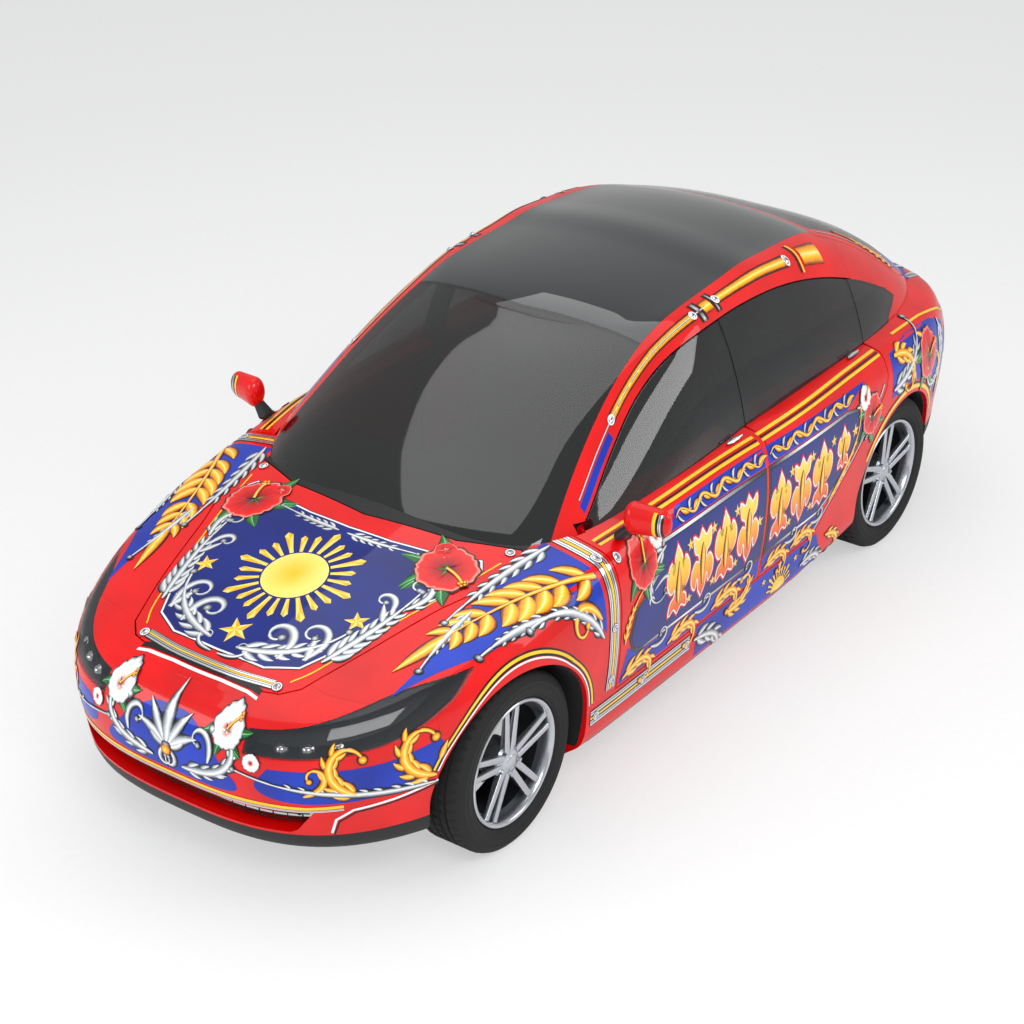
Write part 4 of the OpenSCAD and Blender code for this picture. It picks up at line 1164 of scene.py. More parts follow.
    def palmette(self, centre, size, material=None, up=90):
        """Fleur-de-lis of seven leaves over a knot, with two small curls at its foot."""
        tone = material or SILVER
        for way in (1, -1):
            self.leaf(centre, up + way * 78, size * 0.6, size * 0.2, tone, -way * 60, 2.0)
            self.leaf(centre, up + way * 50, size * 0.8, size * 0.24, tone, way * 30, 2.4)
            self.leaf(centre, up + way * 26, size * 0.9, size * 0.24, tone, way * 18, 2.8)
            foot = curl(centre, up + 180 - way * 55, size * 0.8, way * 330, 1.9)
            self.scroll(foot, size * 0.12, tone)
        self.leaf(centre, up, size * 1.05, size * 0.3, tone, 0, 3.4)
        self.disc(centre, size * 0.12, tone, 4.6, 3.2)

    def made(self, name, body, slot_name="decorated_paint"):
        """The finished piece, joined where its strips meet, on its body."""
        bmesh.ops.remove_doubles(self.bm, verts=self.bm.verts, dist=0.001)
        piece = new_object(name, self.bm)
        for material in PAINTS:
            piece.data.materials.append(material)
        smoothed(piece, RELIEF_EDGE)
        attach(piece, body)
        return piece

    def made_both(self, name, body, other_body=None):
        """The piece and its mirror image on the car's right side."""
        left = self.made(name + "_left", body)
        right = mirrored(left, name + "_right")
        smoothed(right, RELIEF_EDGE)
        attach(right, other_body or body)


# ---------------------------------------------------------------- livery: bonnet
art = Ornament(bonnet_top)
NAVY_FIELD = [
    (0, -2085), (215, -2078), (330, -2020), (385, -1905), (470, -1600), (560, -1345), (574, -1278),
    (546, -1240), (390, -1300), (200, -1332), (0, -1342)
]
field_edge = NAVY_FIELD + [(-x, y) for x, y in NAVY_FIELD[::-1] if x > 0]
art.coats(field_edge, ((12, INK, 0.6), (8, WHITE, 1.5), (0, NAVY, 2.4)), 16)
art.sun((0, -1656), 268)
art.star((0, -1987), 66, -90)
for m in (1, -1):
    art.star((m * 366, -1742), 50, -90)
    # silver scrolls over the front corners and along the sides
    art.acanthus(swap(curl((60, -2052), 10, 430, 66, 1.3), m), 40, SILVER, 5, 0.95, 0)
    art.scroll(swap(curl((230, -2030), 84, 330, 350, 2.1), m), 46, SILVER)
    art.scroll(swap(curl((318, -1990), 70, 330, 340, 2.2), m), 40, SILVER)
    art.acanthus(swap(curl((384, -1965), 73, 480, 16, 1.5), m), 38, SILVER, 7, 0.85, 0)
    art.scroll(swap(curl((440, -1640), 100, 190, 320, 2.0), m), 34, SILVER)
    art.acanthus(swap(curl((478, -1600), 66, 300, 330, 2.4), m), 36, SILVER, 4, 0.8, 0)
    art.leaf((m * 330, -1990), 90 + m * 20, 130, 46, SILVER)
    art.leaf((m * 448, -1700), 90 + m * 34, 100, 36, SILVER)
    # rear edge
    art.acanthus(swap(bent([(20, -1372), (170, -1364), (330, -1338)]), m), 26, SILVER, 5, 0.7, 0)
    art.flower((m * 470, -1345), 122, None, 90 - m * 62)
    art.flower((m * 405, -1265), 46, None, 90 + m * 20, False, False)
    # front moulding and rivets
    art.stud((m * 318, -2128), 17)
    art.stud((m * 606, -1135), 17)
    pinstripe = bent([(346, -2090), (398, -1985), (478, -1700), (560, -1420), (612, -1200)])
    art.line(swap(pinstripe, m), 6, YELLOW)
edge_line = bent([(-300, -2128), (-150, -2150), (0, -2155), (150, -2150), (300, -2128)], 14)
art.line(edge_line, 44, INK, 1.4)
art.line([(x, y - 9) for x, y in edge_line], 17, CHROME, 2.4)
art.line([(x, y + 4) for x, y in edge_line], 6, YELLOW, 2.6)
art.line([(x, y + 14) for x, y in edge_line], 12, CHROME, 2.4)
for m in (1, -1):
    art.scroll(swap(curl((15, -2105), 4, 200, 300, 2.4), m), 18, SILVER)
art.made("bonnet_ornament", "bonnet")

# ---------------------------------------------------------------- livery: front bumper
art = Ornament(nose_wrap)
for m in (1, -1):
    art.patch(swap(bent([
        (430, 600), (640, 604), (860, 612), (1010, 636), (1075, 640), (1085, 560), (1000, 488), (720, 466),
        (480, 472),
        (380, 520), (430, 600)
    ], 5), m), BLUE, 0.8, 14)
    art.patch(swap([(-4, 466)] + bent([
        (-4, 706), (90, 700), (185, 640), (250, 570), (305, 512), (300, 476), (220, 464), (110, 464)
    ], 5), m), BLUE, 0.8, 14)
    art.acanthus(swap(curl((1050, 500), 163, 380, -235, 1.7), m), 46, GOLD, 5, 1.0, 0)
    art.acanthus(swap(curl((760, 492), 158, 350, -235, 1.7), m), 42, GOLD, 5, 1.0, 0)
    art.scroll(swap(curl((560, 500), 20, 230, 300, 2.0), m), 30, GOLD)
    art.leaf((m * 1062, 560), 90 - m * 25, 80, 30, GOLD)
    art.acanthus(swap(curl((1050, 470), 176, 760, -8, 1.2), m), 30, SILVER, 10, 0.3, -m)
    art.acanthus(swap(curl((70, 500), 6, 420, 215, 2.4), m), 42, SILVER, 5, 0.7, 0)
    art.scroll(swap(curl((190, 560), 75, 220, 290, 2.0), m), 30, SILVER)
    art.leaf((m * 90, 500), 90 - m * 80, 190, 46, SILVER)
    art.flower((m * 262, 700), 66, PALE_PETAL, 90)
    art.flower((m * 372, 612), 34, PALE_PETAL, 80, False, False)
    art.line(swap([(0, 794), (120, 794), (260, 790), (318, 784)], m), 9, INK, 1.2)
    art.line(swap([(0, 784), (120, 784), (260, 780), (318, 774)], m), 5, WHITE, 1.4)
    art.line(swap([(0, 448), (420, 448), (560, 444), (700, 450)], m), 13, YELLOW, 1.8)
    art.line(swap([(0, 435), (420, 435), (560, 431), (700, 436)], m), 9, CHROME, 2.0)
    art.line(swap([(655, 330), (672, 390), (735, 428), (900, 446), (1060, 470)], m), 10, WHITE, 1.5)
    art.line(swap([(665, 322), (684, 380), (745, 416), (905, 433), (1064, 456)], m), 7, INK, 1.5)
art.palmette((0, 560), 200)
art.disc((0, 548), 24, GOLD, 6, 4)
art.made("front_bumper_ornament", SHELL)

# ---------------------------------------------------------------- livery: fenders
art = Ornament(flank)
art.patch([
    (-1960, 912), (-1840, 930), (-1640, 985), (-1450, 1030), (-1200, 1078), (-1010, 1092), (-1010, 700),
    (-1090, 800),
    (-1230, 862), (-1400, 862), (-1560, 842), (-1640, 850), (-1780, 880)
], BLUE, 0.9)
art.frond((-1020, 890), 168, 800, 150, GOLD, 8, 10)
art.scroll(curl((-1040, 760), 130, 300, 320, 2.0), 36, GOLD)
art.acanthus(curl((-1015, 1062), 177, 560, 12, 1.2), 38, SILVER, 6, 0.62, 0)
art.acanthus(curl((-1470, 1010), 189, 350, 10, 1.2), 34, SILVER, 6, 0.62, 0)
art.acanthus(curl((-1030, 690), 122, 430, 72, 1.0), 38, SILVER, 6, 0.55, 0)
art.acanthus(curl((-1300, 850), 176, 330, 12, 1.4), 32, SILVER, 5, 0.6, 0)
for k, (tone, wide) in enumerate(((WHITE, 6), (INK, 7), (YELLOW, 10), (INK, 6))):
    r = 410 + 9 * k
    art.line([polar((FRONT_AXLE, AXLE_Z), r, a) for a in range(8, 160, 3)], wide, tone, 1.3)
for tone, wide, gap in ((INK, 64, 0), (CHROME, 20, -19), (YELLOW, 12, 0), (CHROME, 20, 19)):
    art.line([(-958 + gap, s) for s in range(425, 1090, 24)], wide, tone, 1.4 if tone is INK else 2.4)
for s in (470, 700, 930):
    art.stud((-958, s), 15)
art.made_both("fender_ornament", SHELL)

# ---------------------------------------------------------------- livery: doors
CARTOUCHE_TOP, CARTOUCHE_FOOT = 868, 520
FRONT_FIELD = [(-838, 600), (-815, 540), (-770, CARTOUCHE_FOOT), (122, CARTOUCHE_FOOT), (136, CARTOUCHE_TOP),
               (-600, CARTOUCHE_TOP), (-640, 790), (-720, 740), (-800, 700)]
REAR_FIELD = [(171, CARTOUCHE_FOOT), (610, CARTOUCHE_FOOT), (700, 560), (930, 730), (960, 800), (930, 850),
              (820, CARTOUCHE_TOP), (186, CARTOUCHE_TOP)]


def emblem(art, centre, size, upright=True):
    """Bold ornament of the cartouche: flame-shaped leaves in a red and a white outline."""
    way = 1 if upright else -1
    half = bent([
        (0, -1.0), (0.34, -0.8), (0.74, -0.92), (0.66, -0.56), (0.34, -0.4), (0.3, -0.12), (0.62, -0.22),
        (0.92, 0.06), (0.9, 0.44), (0.62, 0.66), (0.5, 0.34), (0.32, 0.44), (0.26, 0.74), (0, 1.0)
    ], 4)
    whole = half + [(-x, y) for x, y in half[-2:0:-1]]
    outline = [(centre[0] + x * size * 0.6, centre[1] + way * y * size) for x, y in whole]
    art.coats(outline, ((13, RED, 2.2), (7, WHITE, 3.2), (0, SUNSET, 4.4)), 16)
    art.leaf((centre[0], centre[1] - way * size * 0.7), 90 * way, size * 1.35, size * 0.24, GOLD, 0, 5.6)


def belt_vine(art, start, end):
    """Wavy golden stem under the belt line, with a leaf on the outer side of each bend."""
    waves = round((end - start) / 150)
    stem = [
        (
            start + (end - start) * k / (12 * waves), 918 + 15 * math.sin(math.pi * k / 6)
        ) for k in range(12 * waves + 1)
    ]
    for k in range(2 * waves):
        y, s = stem[3 + 6 * k]
        way = 1 if k % 2 == 0 else -1
        art.leaf((y, s - way * 4), -way * 28, 72, 22, GOLD, way * 40, 2.4)
        art.leaf((y - 26, s - way * 12), -way * 62, 44, 15, SILVER, way * 50, 2.2)
    art.ribbon(stem, 15, GOLD, 4.2, 2.2, both_ends)


def cartouche(art, shape, emblems):
    """Navy field in a silver frame, with a row of emblems, every second one upside down."""
    art.coats(shape, ((17, INK, 0.8), (14, SILVER, 1.1), (3, INK, 1.4), (0, NAVY, 1.7)))
    for k, at in enumerate(emblems):
        emblem(art, at, 136, k % 2 == 0)


art = Ornament(flank)
art.patch([(-898, 412), (130, 412), (134, 500), (-760, 500), (-860, 560)], BLUE, 0.7)
art.patch([(-560, 888), (150, 888), (156, 948), (-480, 948)], BLUE, 0.7)
cartouche(art, FRONT_FIELD, [(-520, 694), (-345, 694), (-170, 694), (5, 694)])
for x in (-432, -257, -82):
    art.star((x, 808), 24)
    art.star((x, 580), 24)
art.star((95, 694), 30)
art.flower((-752, 852), 88, None, 120)
art.flower((-650, 905), 40, PALE_PETAL, 80, False, False)
art.acanthus(curl((-600, 860), 200, 330, 210, 1.8), 24, SILVER, 5, 0.7, 0)
art.scroll(curl((-690, 735), 30, 260, -320, 2.0), 18, SILVER)
for x in (-880, -560, -235):
    art.acanthus(curl((x, 428), 22, 350, -250, 2.3), 36, GOLD, 4, 1.0, 0)
    art.scroll(curl((x + 190, 484), -24, 210, 310, 2.2), 26, SILVER)
belt_vine(art, -500, 140)
art.ribbon([(20, 1012), (70, 1016), (120, 1012)], 20, CHROME, 5, 8, both_ends)
art.line([(-890, 985), (-600, 990), (-300, 992), (0, 992), (150, 992)], 10, YELLOW, 1.4)
art.line([(-890, 972), (-600, 976), (-300, 977), (0, 977), (150, 977)], 6, INK, 1.4)
art.line([(-890, 962), (-600, 966), (-300, 967), (0, 967), (150, 967)], 9, YELLOW, 1.4)
art.stud((-880, 905), 15)
art.acanthus(curl((-886, 590), 80, 230, -60, 1.4), 20, GOLD, 4, 0.7, 0)
art.made_both("front_door_ornament", "front_left_door", "front_right_door")

art = Ornament(flank)
art.patch([(160, 412), (590, 412), (690, 490), (640, 505), (600, 500), (160, 500)], BLUE, 0.7)
art.patch([(175, 888), (820, 888), (1000, 940), (180, 948)], BLUE, 0.7)
cartouche(art, REAR_FIELD, [(262, 694), (437, 694), (612, 694)])
emblem(art, (790, 745), 84)
for x in (350, 524, 700):
    art.star((x, 812), 24)
for x in (350, 524):
    art.star((x, 580), 24)
art.star((890, 790), 30)
art.flower((1040, 800), 84, None, 60)
art.flower((978, 885), 46, PALE_PETAL, 100, False, True)
art.acanthus(curl((900, 872), 350, 250, -150, 1.8), 20, SILVER, 4, 0.7, 0)
for x in (180, 400):
    art.acanthus(curl((x, 428), 22, 320, -250, 2.3), 34, GOLD, 4, 1.0, 0)
    art.scroll(curl((x + 160, 484), -24, 180, 310, 2.2), 24, SILVER)
art.acanthus(curl((700, 528), 40, 420, 50, 2.4), 28, GOLD, 6, 0.5, -1)
belt_vine(art, 190, 860)
art.ribbon([(1010, 1030), (1060, 1034), (1110, 1030)], 20, CHROME, 5, 8, both_ends)
art.line([(176, 992), (500, 998), (900, 1004), (1190, 1004)], 10, YELLOW, 1.4)
art.line([(176, 979), (500, 985), (900, 990), (1190, 990)], 6, INK, 1.4)
art.line([(176, 969), (500, 974), (900, 979), (1190, 979)], 9, YELLOW, 1.4)
art.line([(600, 425), (700, 505), (820, 602), (960, 716), (1080, 815), (1160, 880)], 12, SILVER, 1.6)
art.made_both("rear_door_ornament", "rear_left_door", "rear_right_door")

# ---------------------------------------------------------------- livery: sills and quarters
art = Ornament(flank)
art.patch([(-330, 250), (700, 250), (640, 392), (-330, 392)], BLUE, 0.8)
for tone, wide, rise in ((INK, 74, 0), (CHROME, 22, -22), (YELLOW, 10, 0), (CHROME, 22, 22)):
    art.line([(y, 344 + rise) for y in range(-1075, -370, 24)], wide, tone, 1.3 if tone is INK else 2.2)
for y in (-1040, -720, -400):
    art.stud((y, 344), 16)
art.acanthus(curl((-350, 340), -6, 440, -240, 2.2), 40, SILVER, 5, 0.9, 0)
art.acanthus(curl((-110, 352), -8, 330, 240, 2.2), 36, GOLD, 5, 0.9, 0)
art.sun((330, 262), 120, 8, lambda x, y: y > 0.05)
for spot in ((200, 352), (330, 396 - 14), (465, 352)):
    art.star(spot, 19)
art.acanthus(curl((510, 290), 12, 340, -250, 2.2), 38, SILVER, 5, 0.9, 0)
art.acanthus(curl((720, 350), -10, 260, -240, 2.2), 32, GOLD, 4, 0.9, 0)
art.line([(y, 216) for y in range(-1060, 960, 40)], 7, WHITE, 1.2)
art.line([(y, 226) for y in range(-1060, 960, 40)], 5, INK, 1.2)
art.made_both("sill_ornament", SHELL)

art = Ornament(flank)
art.line([polar((REAR_AXLE, AXLE_Z), 424, a) for a in range(25, 150, 3)], 18, YELLOW, 1.4)
art.line([polar((REAR_AXLE, AXLE_Z), 439, a) for a in range(25, 148, 3)], 7, INK, 1.4)
art.patch([
    (1240, 800), (1260, 960), (1480, 985), (1760, 975), (1930, 930), (1985, 830), (1970, 690), (1830, 560),
    (1770, 640),
    (1600, 775), (1400, 810)
], BLUE, 0.8)
art.acanthus(curl((1250, 830), 4, 440, 70, 1.6), 40, SILVER, 6, 0.8, 0)
art.acanthus(curl((1290, 945), -4, 380, -250, 2.2), 38, GOLD, 5, 0.9, 0)
art.scroll(curl((1560, 960), -20, 300, -320, 2.1), 34, GOLD)
art.flower((1660, 850), 108, None, 70)
art.acanthus(curl((1850, 960), -72, 520, -210, 1.7), 48, SILVER, 7, 0.7, 0)
art.acanthus(curl((1815, 600), 64, 280, 90, 1.2), 38, GOLD, 5, 0.9, -1)
art.line([(1400, 1010), (1700, 1006), (1950, 985), (2060, 950)], 10, YELLOW, 1.4)
art.leaf((2040, 700), 80, 300, 34, SILVER, 20)
art.made_both("quarter_ornament", SHELL)

# ---------------------------------------------------------------- livery: roof rails
art = Ornament(rail)


def rail_line(y0, y1, t, wide, tone, height=1.4):
    """Stroke along the rail, drawn as a narrow strip of shares of its width."""
    count = max(4, int((y1 - y0) / 22))
    share = wide / 130

    def where(a, b):
        return y0 + (y1 - y0) * b, t + (a - 0.5) * share, height

    art.surface(max(3, round(wide / 9)), count, where, tone)


def rail_spot(y, t, radius, tone, dome=3):
    art.surface(
        16, 3, lambda a, b: (
            y + radius * b * math.cos(2 * math.pi * a), t + radius / 130 * b * math.sin(2 * math.pi * a),
            4 + dome * (1 - b * b)),
        tone, lambda a, b: (0.5 + 0.5 * b, 0.5)
    )


rail_line(-830, -560, 0.72, 34, BLUE, 1.0)
rail_line(-820, 190, 0.5, 9, SILVER, 1.8)
for y0, y1 in ((-520, 95), (260, 800)):
    rail_line(y0, y1, 0.5, 44, INK, 1.1)
    rail_line(y0, y1, 0.5, 36, GOLD, 1.8)
    for y in (y0, y1):
        rail_spot(y, 0.5, 19, WHITE, 1)
        rail_spot(y, 0.5, 14, CHROME, 7)
for y in (118, 150, 226, 250):
    rail_line(y, y + 12, 0.5, 92, INK, 1.6)
rail_line(132, 148, 0.5, 92, CHROME, 1.8)
rail_line(240, 249, 0.5, 92, CHROME, 1.8)
rail_line(166, 222, 0.5, 56, GOLD, 2.0)
rail_line(870, 884, 0.5, 90, INK, 1.6)
rail_line(888, 900, 0.5, 90, YELLOW, 1.6)
rail_line(920, 1080, 0.5, 60, GOLD, 1.8)
art.made_both("roof_rail_ornament", SHELL)

# ---------------------------------------------------------------- livery: tailgate and rear bumper
art = Ornament(above)
for m in (1, -1):
    field = [(20, 1935), (380, 1925), (530, 1870), (590, 1800), (590, 2060), (480, 2200), (20, 2240)]
    art.patch(swap(field, m), BLUE, 1.0)
    border = bent([(0, 1928), (370, 1916), (520, 1860), (566, 1780), (560, 1600), (535, 1420), (508, 1270)])
    art.line(swap(border, m), 8, SILVER, 1.6)
    art.frond((m * 90, 2080), 90 - m * 82, 330, 92, GOLD, 6, m * 20)
    art.acanthus(swap(curl((60, 2205), 2, 430, -36, 1.3), m), 34, SILVER, 6, 0.7, 0)
    art.scroll(swap(curl((430, 2110), 62, 300, 300, 2.1), m), 36, SILVER)
    art.scroll(swap(curl((120, 1960), 12, 260, 280, 2.1), m), 28, SILVER)
    art.acanthus(swap(curl((600, 1850), 262, 420, -14, 1.2), m), 18, GOLD, 6, 0.5, 0)
    art.patch(swap([(530, 2210), (560, 2060), (590, 2080), (575, 2220)], m), CHROME, 1.6)
art.palmette((0, 2110), 150, None, -90)
art.made("tailgate_ornament", "tailgate")

art = Ornament(tail_wrap)
band = bent([(-470, 905), (-230, 902), (0, 901), (230, 902), (470, 905)], 12)
for tone, wide, rise in ((INK, 54, 0), (CHROME, 22, 13), (BLUE, 10, -4), (SILVER, 16, -18)):
    art.line([(x, z + rise) for x, z in band], wide, tone, 1.2 if tone is INK else 2.0)
art.patch([(-440, 700), (-380, 675), (380, 675), (440, 700), (440, 810), (-440, 810)], BLUE, 0.9)
art.line([(-455, 835), (-200, 838), (0, 838), (200, 838), (455, 835)], 8, SILVER, 1.5)
for m in (1, -1):
    art.acanthus(swap(curl((60, 735), 12, 380, 250, 2.2), m), 26, GOLD, 5, 0.7, 0)
    art.scroll(swap(curl((430, 700), 160, 260, -300, 2.0), m), 20, SILVER)
    art.stud((m * 425, 860), 14)
art.palmette((0, 715), 80)
art.made("tailgate_foot_ornament", "tailgate")

art = Ornament(tail_wrap)
art.patch([(-330, 480), (330, 480), (350, 620), (-350, 620)], INK, 0.8)
art.patch([(-322, 487), (322, 487), (341, 613), (-341, 613)], SILVER, 1.1)
art.patch([(-310, 497), (310, 497), (328, 603), (-328, 603)], NAVY, 1.4)
for k in range(5):
    art.palmette((-150 + 75 * k, 525), 52, GOLD)
for m in (1, -1):
    art.star((m * 258, 550), 34)
    art.patch(swap([(362, 480), (620, 480), (600, 640), (372, 640)], m), INK, 0.8)
    art.patch(swap([(370, 488), (610, 488), (592, 632), (380, 632)], m), NAVY, 1.2)
    art.sun((m * 488, 560), 66)
    art.line(swap([(640, 470), (625, 560), (612, 650), (560, 690), (380, 690)], m), 16, SILVER, 1.8)
    art.acanthus(swap(curl((660, 480), 40, 420, 280, 2.2), m), 30, GOLD, 5, 0.7, 0)
    art.patch(swap([(880, 560), (940, 570), (930, 760), (870, 760)], m), CHROME, 1.6)
for x in (-300, 0, 300):
    art.stud((x, 458), 12)
art.made("rear_bumper_ornament", SHELL)

# ---------------------------------------------------------------- other finishes
def plain(name, base, light, size, depth, **constants):
    """Material with fine bumps and a colour that varies between two shades at that scale."""
    material, tree, shader = finish(name, **constants)
    height = grain(tree, shader, size, depth)
    tree.links.new(ramp(tree, height, [(0.35, base), (0.65, light)]), shader.inputs["Base Color"])
    return material


def glazed(name, base, light, **constants):
    """Smooth pane whose tint drifts a little over its area."""
    material, tree, shader = finish(name, Roughness=0.02, **constants)
    place = add(tree, "ShaderNodeTexCoord").outputs["Object"]
    drift = add(tree, "ShaderNodeTexNoise", {"Vector": place, "Scale": 1 / (400 * MM), "Detail": 1.0})
    tree.links.new(ramp(tree, drift.outputs["Fac"], [(0.3, base), (0.7, light)]), shader.inputs["Base Color"])
    return material


# gives the eye: smoked glass that shows the cabin dimly
SMOKED = glazed("smoked_glass", "#0A0D0F", "#101416", Alpha=0.62, Specular_IOR_Level=0.9, Coat_Weight=0.6)
# nearly black glass over the cabin, with sharp reflections
DARK_GLASS = glazed("dark_roof_glass", "#12161A", "#181C20", Coat_Weight=1.0)
# silvered glass of the mirrors
MIRROR = glazed("silvered_glass", "#D8DDE1", "#E2E6E9", Metallic=1.0)
# clear lamp cover
LENS = glazed("clear_lamp_cover", "#2A3036", "#343B41", Alpha=0.22, Specular_IOR_Level=1.0, Coat_Weight=1.0)
# ribbed red lens of the tail lamps
RED_LENS = plain("red_tail_lens", "#8C0408", "#B00A10", 5, 0.15, Roughness=0.08, Coat_Weight=1.0)
# satin black moulded trim with a fine leather-like grain
TRIM = plain("black_moulded_trim", "#0E0F11", "#16181A", 0.9, 0.06, Roughness=0.5)
# grey cabin plastic
CABIN_TRIM = plain("cabin_plastic", "#1C1E21", "#25282B", 1.2, 0.1, Roughness=0.6)
# black underbody coating, rough and sprayed
COATING = plain("underbody_coating", "#101113", "#1A1C1E", 7, 0.5, Roughness=0.75)
# machined alloy, faintly brushed
ALLOY = plain("rim_alloy", "#B4B9C0", "#D2D6DB", 2.0, 0.02, Roughness=0.24, Metallic=0.9)
# dark painted barrel behind the spokes
DARK_ALLOY = plain("dark_rim_barrel", "#2A2D31", "#383C41", 2.0, 0.03, Roughness=0.42, Metallic=0.7)
# tyre rubber with a dusty bloom
RUBBER = plain("tyre_rubber", "#0B0B0C", "#191A1B", 1.6, 0.12, Roughness=0.78)
# woven seat cloth
CLOTH = plain("woven_seat_cloth", "#1E2024", "#34373D", 2.2, 0.35, Roughness=0.9, Sheen_Weight=0.4)
# bright metallised bowls of the lamps
GLOW = plain("lamp_reflector", "#DDE2E6", "#FFFFFF", 9, 0.05, Roughness=0.12, Metallic=0.9)


def dress(pieces, material):
    """Gives pieces one material."""
    for piece in pieces:
        piece.data.materials.clear()
        piece.data.materials.append(material)


painted = [
    *fenders, *quarters, *rails, *front_doors, *rear_doors, front_bumper_skin, rear_bumper_skin,
    bonnet_skin, tailgate_skin
]
dress(painted, RED)
dress([*front_panes, *rear_panes, *quarter_panes, windscreen_pane, rear_pane], SMOKED)
dress([roof_pane], DARK_GLASS)
dress([cowl_skin, front_valance, rear_valance], TRIM)


# ---------------------------------------------------------------- lamps
def lamp_part(depth_out, depth_in, outline, inner, name, node, material):
    """Layer of the body between two depths, cut to a lamp's outline."""
    outer = hull_0 if depth_out == 0 else hull(depth_out)
    shape = both(
        minus(minus(outer, hull(depth_in)), plan_prism(BONNET, SEAM / 2)), side_prism(outline, 0, inner)
    )
    made = on_side(shape, name + "_left", SHELL, node, name + "_right")
    dress(made, material)


def lamp_bowl(outline, inner, name, node):
    """Dark bowl behind a lamp cover."""
    block = both(minus(minus(hull(7), hull(70)), plan_prism(BONNET, SEAM / 2)), side_prism(outline, 0, inner))
    hollow = both(minus(hull(1), hull(46)), minus(side_prism(outline, -7, inner + 8), plan_prism(BONNET, 10)))
    dress(on_side(minus(block, hollow), name + "_left", SHELL, node, name + "_right"), TRIM)


lamp_part(0, 5, HEADLIGHT, LAMP_INNER - 230, "headlight_cover", "headlights", LENS)
lamp_bowl(HEADLIGHT, LAMP_INNER - 230, "headlight_housing", "headlights")
lamp_part(0, 6, TAIL_LIGHT, LAMP_INNER, "tail_light_cover", "tail_lights", RED_LENS)
lamp_part(8, 60, TAIL_LIGHT, LAMP_INNER, "tail_light_housing", "tail_lights", TRIM)
PAINTS += [GLOW, TRIM]
art = Ornament(nose_wrap)
for m in (1, -1):
    for u, z, r in ((470, 668, 27), (575, 672, 27), (690, 676, 25)):
        art.disc((m * u, z), r + 5, TRIM, -40, 2, 28)
        art.disc((m * u, z), r, GLOW, -36, 16, 28)
    art.line(swap([(380, 648), (560, 646), (800, 650), (980, 680), (1120, 712)], m), 7, GLOW, -30)
art.made("headlight_lamps", SHELL, "headlight_lens")
art = Ornament(nose_wrap)
for z in (346, 362, 378, 394, 410):
    art.line([(u, z) for u in range(-570, 571, 30)], 7, TRIM, -46)
for u in range(-540, 541, 60):
    art.line([(u, 334), (u, 422)], 6, TRIM, -48)
art.made("intake_grille", SHELL, "trim_plastic")


# ---------------------------------------------------------------- wheels
TRACK_HALF, TYRE_R, TYRE_HALF, BEAD = 785, 356, 117.5, 242


def spun(profile, steps):
    """Ring of revolution about X from (radius, x) points."""
    bm = bmesh.new()
    ring = [bm.verts.new((x, 0, r)) for r, x in profile]
    edges = [bm.edges.new(pair) for pair in zip(ring, ring[1:] + ring[:1])]
    bmesh.ops.spin(
        bm, geom=ring + edges, cent=(0, 0, 0), axis=(1, 0, 0), dvec=(0, 0, 0), angle=2 * math.pi, steps=steps,
        use_merge=True, use_normal_flip=False, use_duplicate=False
    )
    bmesh.ops.remove_doubles(bm, verts=bm.verts, dist=0.01)
    bmesh.ops.recalc_face_normals(bm, faces=bm.faces)
    return bm


def tyre_mesh():
    """Tyre with four grooves round it and cross grooves in its tread."""
    r, h = TYRE_R, TYRE_HALF
    tread = []
    for groove in (-52, -18, 18, 52):
        tread += [(r, groove - 6), (r - 8, groove - 4), (r - 8, groove + 4), (r, groove + 6)]
    side = [(BEAD, h - 22), (BEAD + 12, h - 22), (BEAD + 18, h - 12), (BEAD + 26, h - 8), (BEAD + 30, h - 4),
            (BEAD + 34, h - 5), (BEAD + 52, h), (BEAD + 56, h + 1.5), (BEAD + 60, h), (r - 40, h - 2),
            (r - 36, h - 0.5),
            (r - 32, h - 3), (r - 18, h - 10), (r - 7, h - 20), (r - 1, h - 34)]
    outer = side + [(r, h - 42)] + tread[::-1] + [(r, 42 - h)] + [(a, -b) for a, b in side[::-1]]
    inner = [
        (BEAD - 1, 30 - h), (BEAD + 40, 14 - h), (r - 16, 40 - h), (r - 16, h - 40), (BEAD + 40, h - 14),
        (BEAD - 1, h - 30)
    ]
    steps = 216
    bm = spun(outer + inner, steps)
    # cross grooves on the shoulders and on the middle ribs
    for v in bm.verts:
        radius = math.hypot(v.co.y, v.co.z)
        k = round(math.atan2(v.co.y, v.co.z) / (2 * math.pi) * steps)
        wide = abs(v.co.x)
        if radius > r - 2 and ((wide > 60 and k % 4 == 0) or (wide < 44 and k % 4 == 2)):
            share = (radius - 6) / radius
            v.co.y *= share
            v.co.z *= share
    return bm


